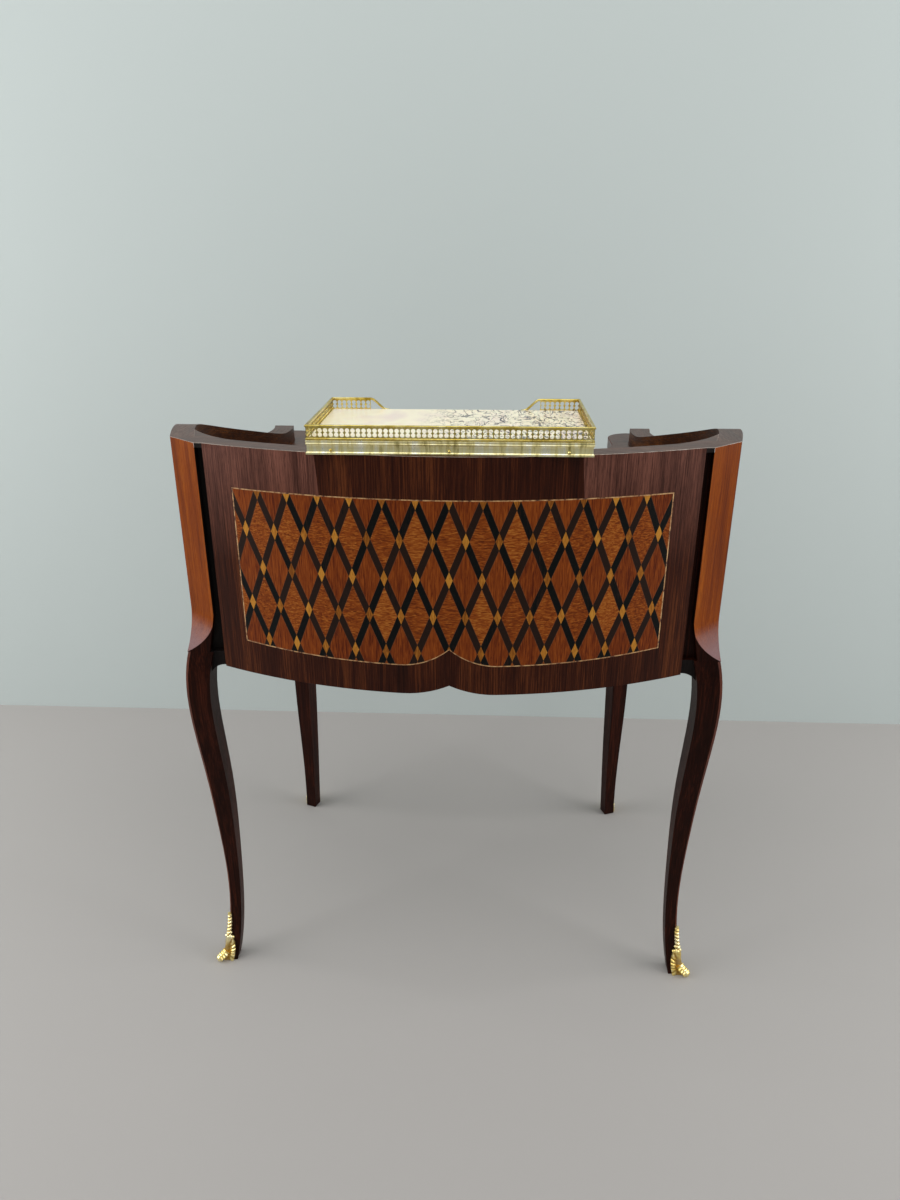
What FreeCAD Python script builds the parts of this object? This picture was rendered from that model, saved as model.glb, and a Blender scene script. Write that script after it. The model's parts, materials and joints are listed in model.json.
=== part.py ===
import FreeCAD, Part
import math
import os
from FreeCAD import Vector

os.makedirs("parts", exist_ok=True)

# Ladies writing desk, kidney shaped, in millimetres.
# +Z is up, +Y is the bowed back, -Y the sitter's side. Left and right are the sitter's.
# The right half is modelled first and mirrored in X for the left half.

# Overall heights and depth
overall_depth = 507.0
table_height = 765.0
rim_rise = 77.0

# Boards
wall_thickness = 30.0
table_thickness = 18.0
capping_thickness = 6.0

# Bowed back panel
back_radius = 826.0
back_half_width = 311.0
tongue_length = 8.0
tongue_thickness = 10.0
tongue_shoulder = 24.0
apron_end_z = 531.5
apron_lobe_z = 526.5
apron_lobe_x = 60.0
apron_cusp_z = 540.0

# Parquetry field let into the back panel, with the panel's plain border above, beside and below it
field_side_border = 38.0
field_top_border = 54.0
field_corner_border = 47.5
field_lobe_border = 42.5
field_cusp_border = 53.0
veneer_thickness = 1.5
stringing_width = 1.4

# Rear posts with their canted corner, which ends in a cove above the knee,
# and the groove between post and back panel
post_strip = 10.0
post_groove_depth = 12.0
cant_width_x = 42.0
cant_width_y = 36.0
knee_rise = 20.5
cove_height = 55.0
ear_drop = 20.0
ear_recess = 4.0

# Side panels, whose outline swells behind and draws in to a waist before the front post
side_rise = 12.0
side_rise_share = 0.12
side_swell = 18.0
side_swell_share = 0.21
side_flank = 3.0
side_flank_share = 0.4625
side_waist = 54.0
side_waist_share = 0.79
front_post_inset = 50.0

# Wings, the part of the side panels above the table
wing_end_rise = 23.0
wing_level_back = 72.0
wing_level_front = 69.0
wing_sweep_ease = 35.0
wing_nose_radius = 14.0
corner_fill_back_run = 53.0
corner_fill_middle_run = 11.0
corner_fill_middle_ahead = 19.231192
corner_fill_side_run = 43.0
corner_fill_side_ahead = 65.231192
corner_fill_bite = 2.0

# Cabriole legs: height of each station, how far its outer corner stands out
# from the ankle along both axes, and the width of its square section.
# A front leg is straighter and turns towards the sitter between knee and shin.
leg_arris = 4.5
ankle_arris = 2.5
leg_width = 36.0
knee_set = 12.0
knee_drop = 44.0
knee_sway = 18.5
knee_width = 35.0
calf_z = 390.0
calf_sway = 14.0
calf_width = 32.0
shin_z = 260.0
shin_sway = 4.0
shin_width = 25.5
ankle_z = 140.0
ankle_width = 19.0
instep_z = 55.0
instep_sway = 5.5
instep_width = 19.5
toe_sway = 16.0
toe_width = 22.0
front_leg_twist = 20.0
front_calf_sway = 15.5
front_shin_sway = 13.0
front_shin_width = 28.5
front_ankle_sway = 9.0
front_ankle_width = 23.5
front_instep_sway = 9.5
front_instep_width = 20.5
front_toe_sway = 13.0
front_toe_width = 20.0

# Sabots, the gilt corner leaves of the feet, with a scrolled toe
sabot_height = 84.0
sabot_reach = 16.0
sabot_wall = 2.0
sabot_toe = 5.5
sabot_toe_reach = 7.0

# Concave front frieze
frieze_radius = 764.0
frieze_setback = 168.0
frieze_thickness = 20.0
upper_rail_height = 12.0
drawer_opening_height = 73.0
lower_rail_height = 22.0
stile_width = 59.0
return_run = 32.0
return_thickness = 20.0
return_inner_depth = 18.0

# Table top
table_overhang = 8.0
lobe_inner_inset = 3.0
lobe_outer_overhang = 10.0
kneehole_fillet = 45.0

# Front post measured back from the tip of the table lobe
front_post_setback = 23.5

# Drawer bodies
running_clearance = 0.5
frieze_drawer_rear_gap = 32.0
drawer_side_thickness = 9.0
drawer_base_thickness = 6.0
drawer_base_lift = 5.0
drawer_groove = 4.0
drawer_side_drop = 5.0
dust_board_thickness = 10.0
dust_board_margin = 16.0
guide_height = 28.0
stop_size = 16.0
stop_height = 10.0
stop_inset = 60.0
kicker_width = 24.0
glue_block_size = 15.0
glue_block_length = 40.0
glue_block_spread = 110.0

# Marble tray top
tray_width = 338.0
tray_depth = 188.0
tray_back_inset = 5.0
marble_thickness = 20.0
band_height = 16.5
band_thickness = 3.4
band_hollow = 1.2
band_bead = 4.0
pin_radius = 1.6
pin_rise = 5.0
pin_side_spread = 63.0
pin_long_spread = 139.5

# Pierced gallery
gallery_height = 18.5
gallery_thickness = 1.6
gallery_rail = 3.0
gallery_pitch = 6.4
gallery_slot = 4.2
return_length = 76.0
return_sweep = 23.0

# Nest of drawers under the tray
gradin_margin = 6.0
gradin_board = 10.0
gradin_divider_thickness = 8.0
gradin_drawer_front = 12.0
gradin_drawer_side = 7.0
gradin_drawer_base = 4.0
gradin_drawer_rear_gap = 8.0

# Knobs
frieze_knob_radius = 9.0
frieze_knob_length = 20.0
frieze_knob_x = 105.0
gradin_knob_radius = 6.0
gradin_knob_length = 14.0
knob_rose_share = 0.8
knob_neck_share = 0.42
knob_rose_thickness = 2.4

# Places worked out from the driving dimensions
back_y = overall_depth / 2.0
tip_y = -overall_depth / 2.0
back_centre_y = back_y - back_radius
back_inner_radius = back_radius - wall_thickness
rim_height = table_height + rim_rise
capping_z = rim_height - capping_thickness
wing_end_z = table_height + wing_end_rise
table_under_z = table_height - table_thickness
drawer_top_z = table_under_z - upper_rail_height
drawer_bottom_z = drawer_top_z - drawer_opening_height
frieze_bottom_z = drawer_bottom_z - lower_rail_height
field_half_width = back_half_width - field_side_border
field_top_z = rim_height - field_top_border
field_corner_z = apron_end_z + field_corner_border
field_lobe_z = apron_lobe_z + field_lobe_border
field_cusp_z = apron_cusp_z + field_cusp_border
knee_top_z = apron_end_z + knee_rise
knee_z = knee_top_z - knee_drop
reach = 2.0 * overall_depth
cos_45 = math.sqrt(0.5)
cut_margin = wall_thickness


def back_face_y(x, radius):
    return back_centre_y + math.sqrt(radius ** 2 - x ** 2)


post_rear_y = back_face_y(back_half_width, back_radius)
post_inner_y = back_face_y(back_half_width, back_inner_radius)
cant_inner_x = back_half_width + post_strip
post_outer_x = cant_inner_x + cant_width_x
cant_outer_y = post_rear_y - cant_width_y
rear_leg_face_x = post_outer_x - leg_width
front_post_outer_x = post_outer_x - front_post_inset
front_post_front_y = tip_y + front_post_setback
front_post_rear_y = front_post_front_y + leg_width
front_post_inner_x = front_post_outer_x - leg_width
wing_sweep_start_y = cant_outer_y - wing_level_back
wing_sweep_end_y = front_post_rear_y + wing_level_front
frieze_half_width = front_post_inner_x - return_run
drawer_half_width = frieze_half_width - stile_width
frieze_drawer_back_y = back_face_y(drawer_half_width, back_inner_radius) - frieze_drawer_rear_gap
frieze_face_y = tip_y + frieze_setback
frieze_centre_y = frieze_face_y - frieze_radius
frieze_rear_radius = frieze_radius + frieze_thickness


def frieze_y(x, radius):
    return frieze_centre_y + math.sqrt(radius ** 2 - x ** 2)


def save(name, shape):
    shape.exportStep("parts/" + name + ".step")
    print(name, len(shape.Solids), shape.isValid(), round(shape.Volume))


def mirrored(shape):
    return shape.mirror(Vector(0, 0, 0), Vector(1, 0, 0))


def save_pair(name, right_shape):
    save(name + "_right", right_shape)
    save(name + "_left", mirrored(right_shape))


def box(x0, x1, y0, y1, z0, z1):
    return Part.makeBox(x1 - x0, y1 - y0, z1 - z0, Vector(x0, y0, z0))


def polygon_face(points):
    return Part.Face(Part.makePolygon(points + [points[0]]))


def prism(plan_points, z0, z1):
    face = polygon_face([Vector(x, y, z0) for x, y in plan_points])
    return face.extrude(Vector(0, 0, z1 - z0))


def line(a, b):
    return Part.LineSegment(a, b).toShape()


def arc(a, through, b):
    return Part.Arc(a, through, b).toShape()


def upright_cylinder(radius, y, z0, z1):
    return Part.makeCylinder(radius, z1 - z0, Vector(0, y, z0))


# Wall of the bowed back between two radii, within a half width and two heights
def bowed_wall(inner_radius, outer_radius, half_width, z0, z1):
    outer = upright_cylinder(outer_radius, back_centre_y, z0, z1)
    inner = upright_cylinder(inner_radius, back_centre_y, z0, z1)
    window = box(-half_width, half_width, 0, reach, z0, z1)
    return outer.cut(inner).common(window)


# Strip of the concave front between two places across and two heights
def concave_strip(x0, x1, z0, z1):
    outer = upright_cylinder(frieze_rear_radius, frieze_centre_y, z0, z1)
    inner = upright_cylinder(frieze_radius, frieze_centre_y, z0, z1)
    window = box(x0, x1, frieze_centre_y, 0, z0, z1)
    return outer.cut(inner).common(window)


def behind_frieze(shape, radius):
    low, high = shape.BoundBox.ZMin - cut_margin, shape.BoundBox.ZMax + cut_margin
    return shape.cut(upright_cylinder(radius, frieze_centre_y, low, high))


def before_back(shape):
    low, high = shape.BoundBox.ZMin - cut_margin, shape.BoundBox.ZMax + cut_margin
    return shape.common(upright_cylinder(back_inner_radius, back_centre_y, low, high))


# Upright face with a level top and a lower edge of two lobes and a middle cusp.
# Half way along each arc the edge has climbed a quarter of its rise.
def lobed_face(half_width, top_z, corner_z, lobe_z, cusp_z):
    lobe_run = half_width - apron_lobe_x
    cusp_rise = cusp_z - lobe_z
    end_rise = corner_z - lobe_z

    def point(x, z):
        return Vector(x, 0, z)

    edges = []
    for side in (1, -1):
        corner = point(side * half_width, corner_z)
        lobe = point(side * apron_lobe_x, lobe_z)
        cusp = point(0, cusp_z)
        outer_middle = point(side * (apron_lobe_x + lobe_run / 2), lobe_z + end_rise / 4)
        inner_middle = point(side * apron_lobe_x / 2, lobe_z + cusp_rise / 4)
        edges.append(line(point(side * half_width, top_z), corner))
        edges.append(arc(corner, outer_middle, lobe))
        edges.append(arc(lobe, inner_middle, cusp))
    edges.append(line(point(half_width, top_z), point(-half_width, top_z)))
    return Part.Face(Part.Wire(Part.__sortEdges__(edges)))


# Back panel with a tongue at each end, and its inlay
def field_block(grow):
    face = lobed_face(field_half_width + grow, field_top_z + grow, field_corner_z - grow,
                      field_lobe_z - grow, field_cusp_z - grow)
    return face.extrude(Vector(0, reach, 0))


lowest_z = apron_lobe_z - tongue_shoulder
skin = bowed_wall(back_radius - veneer_thickness, back_radius, back_half_width, lowest_z, rim_height)
parquetry_field = skin.common(field_block(0))
parquetry_stringing = skin.common(field_block(stringing_width)).cut(field_block(0))

panel_block = lobed_face(back_half_width, capping_z, apron_end_z, apron_lobe_z, apron_cusp_z)
panel_block = panel_block.extrude(Vector(0, reach, 0))
back_panel = bowed_wall(back_inner_radius, back_radius, back_half_width, lowest_z, capping_z)
back_panel = back_panel.common(panel_block)
tongue_inset = (wall_thickness - tongue_thickness) / 2
tongue = bowed_wall(back_inner_radius + tongue_inset, back_radius - tongue_inset,
                    back_half_width + tongue_length,
                    knee_top_z + tongue_shoulder, capping_z - tongue_shoulder)
back_panel = back_panel.fuse(tongue).removeSplitter()
back_panel = back_panel.cut(parquetry_field).cut(parquetry_stringing)

# Outline of the right side panel in plan: outer curve, and the inner one a wall away
side_run = front_post_rear_y - cant_outer_y


def side_point(out, at):
    return Vector(post_outer_x + out, cant_outer_y + side_run * at, 0)


side_curve = Part.BSplineCurve()
side_curve.interpolate([
    side_point(0, 0),
    side_point(side_rise, side_rise_share),
    side_point(side_swell, side_swell_share),
    side_point(side_flank, side_flank_share),
    side_point(-side_waist, side_waist_share),
    side_point(-front_post_inset, 1),
])
SIDE_SAMPLES = 24


def side_curve_inside(depth):
    points = []
    first, last = side_curve.FirstParameter, side_curve.LastParameter
    for step in range(SIDE_SAMPLES + 1):
        at = first + (last - first) * step / SIDE_SAMPLES
        place = side_curve.value(at)
        tangent = side_curve.tangent(at)[0]
        points.append(place - Vector(depth / abs(tangent.y), 0, 0))
    inside = Part.BSplineCurve()
    inside.interpolate(points)
    return inside


def between_curves(outer, inner, z0, z1):
    outer_start, outer_end = outer.value(outer.FirstParameter), outer.value(outer.LastParameter)
    inner_start, inner_end = inner.value(inner.FirstParameter), inner.value(inner.LastParameter)
    edges = [outer.toShape(), line(outer_end, inner_end), inner.toShape(), line(inner_start, outer_start)]
    face = Part.Face(Part.Wire(Part.__sortEdges__(edges)))
    face.translate(Vector(0, 0, z0))
    return face.extrude(Vector(0, 0, z1 - z0))


side_inner_curve = side_curve_inside(wall_thickness)
side_inner_start = side_inner_curve.value(side_inner_curve.FirstParameter)
side_wall = between_curves(side_curve, side_inner_curve, apron_end_z, rim_height)


# Region below the top line of the wing, lowered by a drop, seen from the side
def below_wing_line(drop):
    def point(y, z):
        return Vector(0, y, z - drop)

    nose_y = front_post_rear_y + wing_nose_radius
    nose_z = wing_end_z - wing_nose_radius
    sweep = Part.BezierCurve()
    sweep.setPoles([
        point(wing_sweep_start_y, rim_height),
        point(wing_sweep_start_y - wing_sweep_ease, rim_height),
        point(wing_sweep_end_y + wing_sweep_ease, wing_end_z),
        point(wing_sweep_end_y, wing_end_z),
    ])
    nose_turn = wing_nose_radius * cos_45
    nose_middle = point(nose_y - nose_turn, nose_z + nose_turn)
    nose_foot = point(front_post_rear_y, nose_z)
    floor_front = Vector(0, front_post_rear_y, 0)
    floor_back = Vector(0, reach, 0)
    edges = [
        line(point(reach, rim_height), point(wing_sweep_start_y, rim_height)),
        sweep.toShape(),
        line(point(wing_sweep_end_y, wing_end_z), point(nose_y, wing_end_z)),
        arc(point(nose_y, wing_end_z), nose_middle, nose_foot),
        line(nose_foot, floor_front),
        line(floor_front, floor_back),
        line(floor_back, point(reach, rim_height)),
    ]
    face = Part.Face(Part.Wire(Part.__sortEdges__(edges)))
    return face.extrude(Vector(reach, 0, 0))


side_panel = side_wall.common(below_wing_line(capping_thickness))
wing_capping = side_wall.common(below_wing_line(0)).cut(below_wing_line(capping_thickness))


# Stations of the two kinds of leg, from the knee down: height, sway, width and arris
rear_stations = [
    (knee_top_z, knee_set, leg_width, leg_arris),
    (knee_z, knee_sway, knee_width, leg_arris),
    (calf_z, calf_sway, calf_width, leg_arris),
    (shin_z, shin_sway, shin_width, ankle_arris),
    (ankle_z, 0, ankle_width, ankle_arris),
    (instep_z, instep_sway, instep_width, ankle_arris),
    (0, toe_sway, toe_width, ankle_arris),
]
front_stations = [
    (knee_top_z, knee_set, leg_width, leg_arris),
    (knee_z, knee_sway, knee_width, leg_arris),
    (calf_z, front_calf_sway, calf_width, leg_arris),
    (shin_z, front_shin_sway, front_shin_width, ankle_arris),
    (ankle_z, front_ankle_sway, front_ankle_width, ankle_arris),
    (instep_z, front_instep_sway, front_instep_width, ankle_arris),
    (0, front_toe_sway, front_toe_width, ankle_arris),
]


# Leg of a given outer corner. turn is 1 for a rear leg and -1 for a front leg.
def leg_section(corner_x, corner_y, turn, sway, width, arris, z):
    x1, y1 = corner_x + sway, corner_y + turn * sway
    x0, y0 = x1 - width, y1 - turn * width
    points = [(x0, y0), (x0, y1), (x1 - arris, y1), (x1, y1 - turn * arris), (x1, y0)]
    return Part.makePolygon([Vector(x, y, z) for x, y in points + points[:1]])


# Turns a shape about the upright line through the middle of the leg's post
def twisted(shape, corner_x, corner_y, turn, degrees):
    axis = Vector(corner_x - leg_width / 2, corner_y - turn * leg_width / 2, 0)
    result = shape.copy()
    result.rotate(axis, Vector(0, 0, 1), -degrees)
    return result


def cabriole(corner_x, corner_y, turn, stations, twist, grow, low_z, high_z):
    ankle_x, ankle_y = corner_x - knee_set, corner_y - turn * knee_set
    sections = []
    for z, sway, width, arris in stations:
        if low_z <= z <= high_z:
            section = leg_section(ankle_x, ankle_y, turn, sway + grow, width + 2 * grow, arris, z)
            share = min(1.0, (knee_top_z - z) / (knee_top_z - shin_z))
            sections.append(twisted(section, corner_x, corner_y, turn, twist * share))
    return Part.makeLoft(sections, True, False)


# Rear post: a block with a canted corner, cut away by a cove that runs out to the knee,
# and by a groove beside the back panel that widens down the cove
def rear_post():
    plan = [
        (back_half_width, post_inner_y),
        (back_half_width, post_rear_y),
        (post_outer_x, post_rear_y),
        (post_outer_x, cant_outer_y),
        (side_inner_start.x, side_inner_start.y),
    ]
    block = prism(plan, knee_top_z, capping_z)
    run = math.hypot(cant_width_x, cant_width_y)
    along = Vector(cant_width_x, -cant_width_y, 0) * (1 / run)
    outward = Vector(cant_width_y, cant_width_x, 0) * (1 / run)
    cove_depth = outward.x * cant_width_x
    cove_radius = (cove_depth ** 2 + cove_height ** 2) / (2 * cove_depth)
    cove_angle = math.asin(cove_height / cove_radius) / 2
    start = Vector(cant_inner_x, post_rear_y, 0) - along * run

    def cut_point(out, z):
        return start + outward * out + Vector(0, 0, z)

    cove_top_z = knee_top_z + cove_height
    middle_out = cove_radius * (1 - math.cos(cove_angle))
    middle_drop = cove_radius * math.sin(cove_angle)
    arc_middle = cut_point(middle_out, cove_top_z - middle_drop)
    edges = [
        line(cut_point(0, rim_height), cut_point(0, cove_top_z)),
        arc(cut_point(0, cove_top_z), arc_middle, cut_point(cove_depth, knee_top_z)),
        line(cut_point(cove_depth, knee_top_z), cut_point(2 * run, knee_top_z)),
        line(cut_point(2 * run, knee_top_z), cut_point(2 * run, rim_height)),
        line(cut_point(2 * run, rim_height), cut_point(0, rim_height)),
    ]
    cutter = Part.Face(Part.Wire(edges)).extrude(along * (3 * run))
    groove_floor_y = post_rear_y - post_groove_depth
    groove_outline = [
        Vector(back_half_width - cut_margin, groove_floor_y, rim_height),
        Vector(cant_inner_x, groove_floor_y, rim_height),
        Vector(cant_inner_x, groove_floor_y, cove_top_z),
        Vector(rear_leg_face_x + leg_arris, groove_floor_y, knee_top_z),
        Vector(back_half_width - cut_margin, groove_floor_y, knee_top_z),
    ]
    groove = polygon_face(groove_outline).extrude(Vector(0, post_groove_depth + cut_margin, 0))
    return block.cut(cutter).cut(groove)


# Small ear that rounds the corner between the lower edge of the back panel and the leg
def leg_ear():
    low_z = apron_end_z - ear_drop
    bury = leg_width / 2
    y = post_inner_y

    def point(x, z):
        return Vector(x, y, z)

    ear_run = rear_leg_face_x + bury / 2 - back_half_width
    middle = point(back_half_width + ear_run * cos_45, apron_end_z - ear_drop * (1 - cos_45))
    edges = [
        line(point(back_half_width, knee_top_z), point(back_half_width, apron_end_z)),
        arc(point(back_half_width, apron_end_z), middle, point(back_half_width + ear_run, low_z)),
        line(point(back_half_width + ear_run, low_z), point(rear_leg_face_x + bury, low_z)),
        line(point(rear_leg_face_x + bury, low_z), point(rear_leg_face_x + bury, knee_top_z)),
        line(point(rear_leg_face_x + bury, knee_top_z), point(back_half_width, knee_top_z)),
    ]
    depth = post_rear_y - post_inner_y - ear_recess
    return Part.Face(Part.Wire(edges)).extrude(Vector(0, depth, 0))


rear_cabriole = cabriole(post_outer_x, post_rear_y, 1, rear_stations, 0, 0, 0, knee_top_z)
rear_leg = rear_post().fuse(leg_ear()).fuse(rear_cabriole).removeSplitter()
rear_leg = rear_leg.cut(back_panel)

front_cabriole = cabriole(front_post_outer_x, front_post_front_y, -1, front_stations, front_leg_twist,
                          0, 0, knee_top_z)
front_post = box(front_post_inner_x, front_post_outer_x, front_post_front_y, front_post_rear_y,
                 knee_top_z, table_under_z)
front_leg = front_post.fuse(front_cabriole).removeSplitter()


# Sabot: a thin leaf folded over the outer corner of the foot, with a toe that stands out from it
def sabot(corner_x, corner_y, turn, stations, twist, foot_sway, leg):
    shell = cabriole(corner_x, corner_y, turn, stations, twist, sabot_wall, 0, ankle_z)
    toe_x = corner_x - knee_set + foot_sway
    toe_y = corner_y + turn * (foot_sway - knee_set)
    inner_x = toe_x - sabot_reach
    outer_x = toe_x + sabot_reach
    low_y = toe_y - sabot_reach
    high_y = toe_y + sabot_reach
    column = box(inner_x, outer_x, low_y, high_y, 0, sabot_height)
    toe_tip = Vector(toe_x + sabot_toe_reach, toe_y + turn * sabot_toe_reach, sabot_toe)
    toe_root = Vector(inner_x, toe_y - turn * sabot_reach, sabot_toe)
    neck = Part.makeCylinder(sabot_toe, (toe_tip - toe_root).Length, toe_root, toe_tip - toe_root)
    toe = neck.fuse(Part.makeSphere(sabot_toe, toe_tip))
    leaf = shell.common(twisted(column, corner_x, corner_y, turn, twist))
    return leaf.fuse(twisted(toe, corner_x, corner_y, turn, twist)).cut(leg)


rear_sabot = sabot(post_outer_x, post_rear_y, 1, rear_stations, 0, toe_sway, rear_leg)
front_sabot = sabot(front_post_outer_x, front_post_front_y, -1, front_stations, front_leg_twist,
                    front_toe_sway, front_leg)

# Fill between two heights that rounds the inner corner of back, post and side panel
def corner_fill(z0, z1):
    def point(x, y):
        return Vector(x, y, z0)

    start_x = back_half_width - corner_fill_back_run
    side_x = back_half_width + corner_fill_side_run
    back_end = point(start_x, back_face_y(start_x, back_inner_radius) + corner_fill_bite)
    middle = point(back_half_width + corner_fill_middle_run, post_inner_y - corner_fill_middle_ahead)
    side_end = point(side_x, post_inner_y - corner_fill_side_ahead)
    in_side = point(side_x, cant_outer_y + corner_fill_bite)
    in_post = point(back_half_width + corner_fill_bite, post_inner_y + corner_fill_bite)
    edges = [
        arc(back_end, middle, side_end),
        line(side_end, in_side),
        line(in_side, in_post),
        line(in_post, back_end),
    ]
    return Part.Face(Part.Wire(edges)).extrude(Vector(0, 0, z1 - z0))


corner_block = corner_fill(table_height, capping_z).cut(side_wall).cut(rear_leg).cut(back_panel)

# Capping over the bowed back, the two canted posts and the two inner corners
back_capping = bowed_wall(back_inner_radius, back_radius, back_half_width, capping_z, rim_height)
post_cap_plan = [
    (back_half_width, post_inner_y),
    (back_half_width, post_rear_y),
    (cant_inner_x, post_rear_y),
    (post_outer_x, cant_outer_y),
    (side_inner_start.x, side_inner_start.y),
]
post_cap = prism(post_cap_plan, capping_z, rim_height)
corner_cap = corner_fill(capping_z, rim_height).cut(side_wall)
for piece in (post_cap, corner_cap):
    back_capping = back_capping.fuse(piece).fuse(mirrored(piece))
back_capping = back_capping.removeSplitter()

# Concave front frieze
upper_rail = concave_strip(-frieze_half_width, frieze_half_width, drawer_top_z, table_under_z)
lower_rail = concave_strip(-frieze_half_width, frieze_half_width, frieze_bottom_z, drawer_bottom_z)
frieze_stile = concave_strip(drawer_half_width, frieze_half_width, drawer_bottom_z, drawer_top_z)
return_front_y = frieze_y(frieze_half_width, frieze_radius)
return_rear_y = frieze_y(frieze_half_width, frieze_rear_radius)
lobe_return = prism([
    (frieze_half_width, return_front_y),
    (front_post_inner_x, front_post_rear_y - return_thickness),
    (front_post_inner_x, front_post_rear_y),
    (frieze_half_width + return_inner_depth, return_rear_y),
    (frieze_half_width, return_rear_y),
], apron_end_z, table_under_z)

# Table top: its own front edge, and its back and sides let in between the walls
table_front_radius = frieze_radius - table_overhang
lobe_inner_x = frieze_half_width + lobe_inner_inset
lobe_outer_x = front_post_outer_x + lobe_outer_overhang
lobe_radius = (lobe_outer_x - lobe_inner_x) / 2
lobe_centre_x = lobe_inner_x + lobe_radius
lobe_centre_y = tip_y + lobe_radius
fillet_x = lobe_inner_x - kneehole_fillet
fillet_y = frieze_y(fillet_x, table_front_radius - kneehole_fillet)
fillet_reach = table_front_radius / (table_front_radius - kneehole_fillet)
fillet_end_x = fillet_x * fillet_reach
fillet_end_y = frieze_centre_y + (fillet_y - frieze_centre_y) * fillet_reach
fillet_turn = kneehole_fillet * cos_45
table_side_curve = side_curve_inside(wall_thickness / 2)
back_middle_radius = back_radius - wall_thickness / 2
back_middle_end = back_face_y(back_half_width, back_middle_radius)


def table_half_edges(side):
    def point(x, y):
        return Vector(side * x, y, table_under_z)

    curve_points = []
    for step in range(SIDE_SAMPLES + 1):
        first, last = table_side_curve.FirstParameter, table_side_curve.LastParameter
        place = table_side_curve.value(first + (last - first) * step / SIDE_SAMPLES)
        curve_points.append(point(place.x, place.y))
    inset_curve = Part.BSplineCurve()
    inset_curve.interpolate(curve_points)
    fillet_middle = point(fillet_x + fillet_turn, fillet_y + fillet_turn)
    return [
        arc(point(fillet_end_x, fillet_end_y), fillet_middle, point(lobe_inner_x, fillet_y)),
        line(point(lobe_inner_x, fillet_y), point(lobe_inner_x, lobe_centre_y)),
        arc(point(lobe_inner_x, lobe_centre_y), point(lobe_centre_x, tip_y),
            point(lobe_outer_x, lobe_centre_y)),
        line(point(lobe_outer_x, lobe_centre_y), point(lobe_outer_x, front_post_rear_y)),
        line(point(lobe_outer_x, front_post_rear_y), curve_points[-1]),
        inset_curve.toShape(),
        line(curve_points[0], point(back_half_width, back_middle_end)),
    ]


def table_board():
    front = arc(Vector(-fillet_end_x, fillet_end_y, table_under_z),
                Vector(0, frieze_y(0, table_front_radius), table_under_z),
                Vector(fillet_end_x, fillet_end_y, table_under_z))
    rear = arc(Vector(-back_half_width, back_middle_end, table_under_z),
               Vector(0, back_face_y(0, back_middle_radius), table_under_z),
               Vector(back_half_width, back_middle_end, table_under_z))
    edges = table_half_edges(1) + table_half_edges(-1) + [front, rear]
    face = Part.Face(Part.Wire(Part.__sortEdges__(edges)))
    board = face.extrude(Vector(0, 0, table_thickness))
    for wall in (side_wall, mirrored(side_wall), rear_leg, mirrored(rear_leg), back_panel):
        board = board.cut(wall)
    return board


table_top = table_board()


# Plain drawer box behind a front: two sides, a back, and a base held in grooves
def drawer_box(x0, x1, y0, y1, z0, z1, board, base, lift, groove):
    bottom = box(x0 + board - groove, x1 - board + groove, y0, y1, z0 + lift, z0 + lift + base)
    side_low = box(x0, x0 + board, y0, y1, z0, z1).cut(bottom)
    side_high = box(x1 - board, x1, y0, y1, z0, z1).cut(bottom)
    back = box(x0 + board, x1 - board, y1 - board, y1, z0 + lift + base, z1)
    return side_low, side_high, back, bottom


# Turned knob with a round head, which points along -Y from the origin
def knob(radius, length):
    rose = knob_rose_share * radius
    neck = knob_neck_share * radius
    head_at = length - radius
    neck_end = head_at - math.sqrt(radius ** 2 - neck ** 2)

    def point(out, along):
        return Vector(out, -along, 0)

    edges = [
        line(point(0, 0), point(rose, 0)),
        line(point(rose, 0), point(rose, knob_rose_thickness)),
        line(point(rose, knob_rose_thickness), point(neck, neck_end)),
        arc(point(neck, neck_end), point(radius, head_at), point(0, length)),
        line(point(0, length), point(0, 0)),
    ]
    face = Part.Face(Part.Wire(edges))
    return face.revolve(Vector(0, 0, 0), Vector(0, 1, 0), 360)


# Frieze drawer behind its concave front
front_half = drawer_half_width - running_clearance
front_low_z = drawer_bottom_z + running_clearance
front_high_z = drawer_top_z - running_clearance
frieze_drawer_front = concave_strip(-front_half, front_half, front_low_z, front_high_z)
frieze_drawer_boards = drawer_box(-front_half, front_half, return_front_y, frieze_drawer_back_y,
                                  front_low_z, front_high_z - drawer_side_drop, drawer_side_thickness,
                                  drawer_base_thickness, drawer_base_lift, drawer_groove)
frieze_drawer_boards = [behind_frieze(board, frieze_rear_radius) for board in frieze_drawer_boards]
drawer_middle_z = (front_low_z + front_high_z) / 2


def frieze_knob(side):
    x = side * frieze_knob_x
    turned = knob(frieze_knob_radius, frieze_knob_length)
    turned.rotate(Vector(0, 0, 0), Vector(0, 0, 1), -math.degrees(math.asin(x / frieze_radius)))
    turned.translate(Vector(x, frieze_y(x, frieze_radius), drawer_middle_z))
    return turned.cut(frieze_drawer_front)


# Dust board, guides, kickers and stops round the frieze drawer
dust_half = drawer_half_width + dust_board_margin
dust_low_z = drawer_bottom_z - dust_board_thickness


def across_carcass(x0, x1, z0, z1):
    board = box(x0, x1, return_front_y, back_y, z0, z1)
    return before_back(behind_frieze(board, frieze_rear_radius))


def both_sides(shape):
    return Part.Compound([shape, mirrored(shape)])


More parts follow.
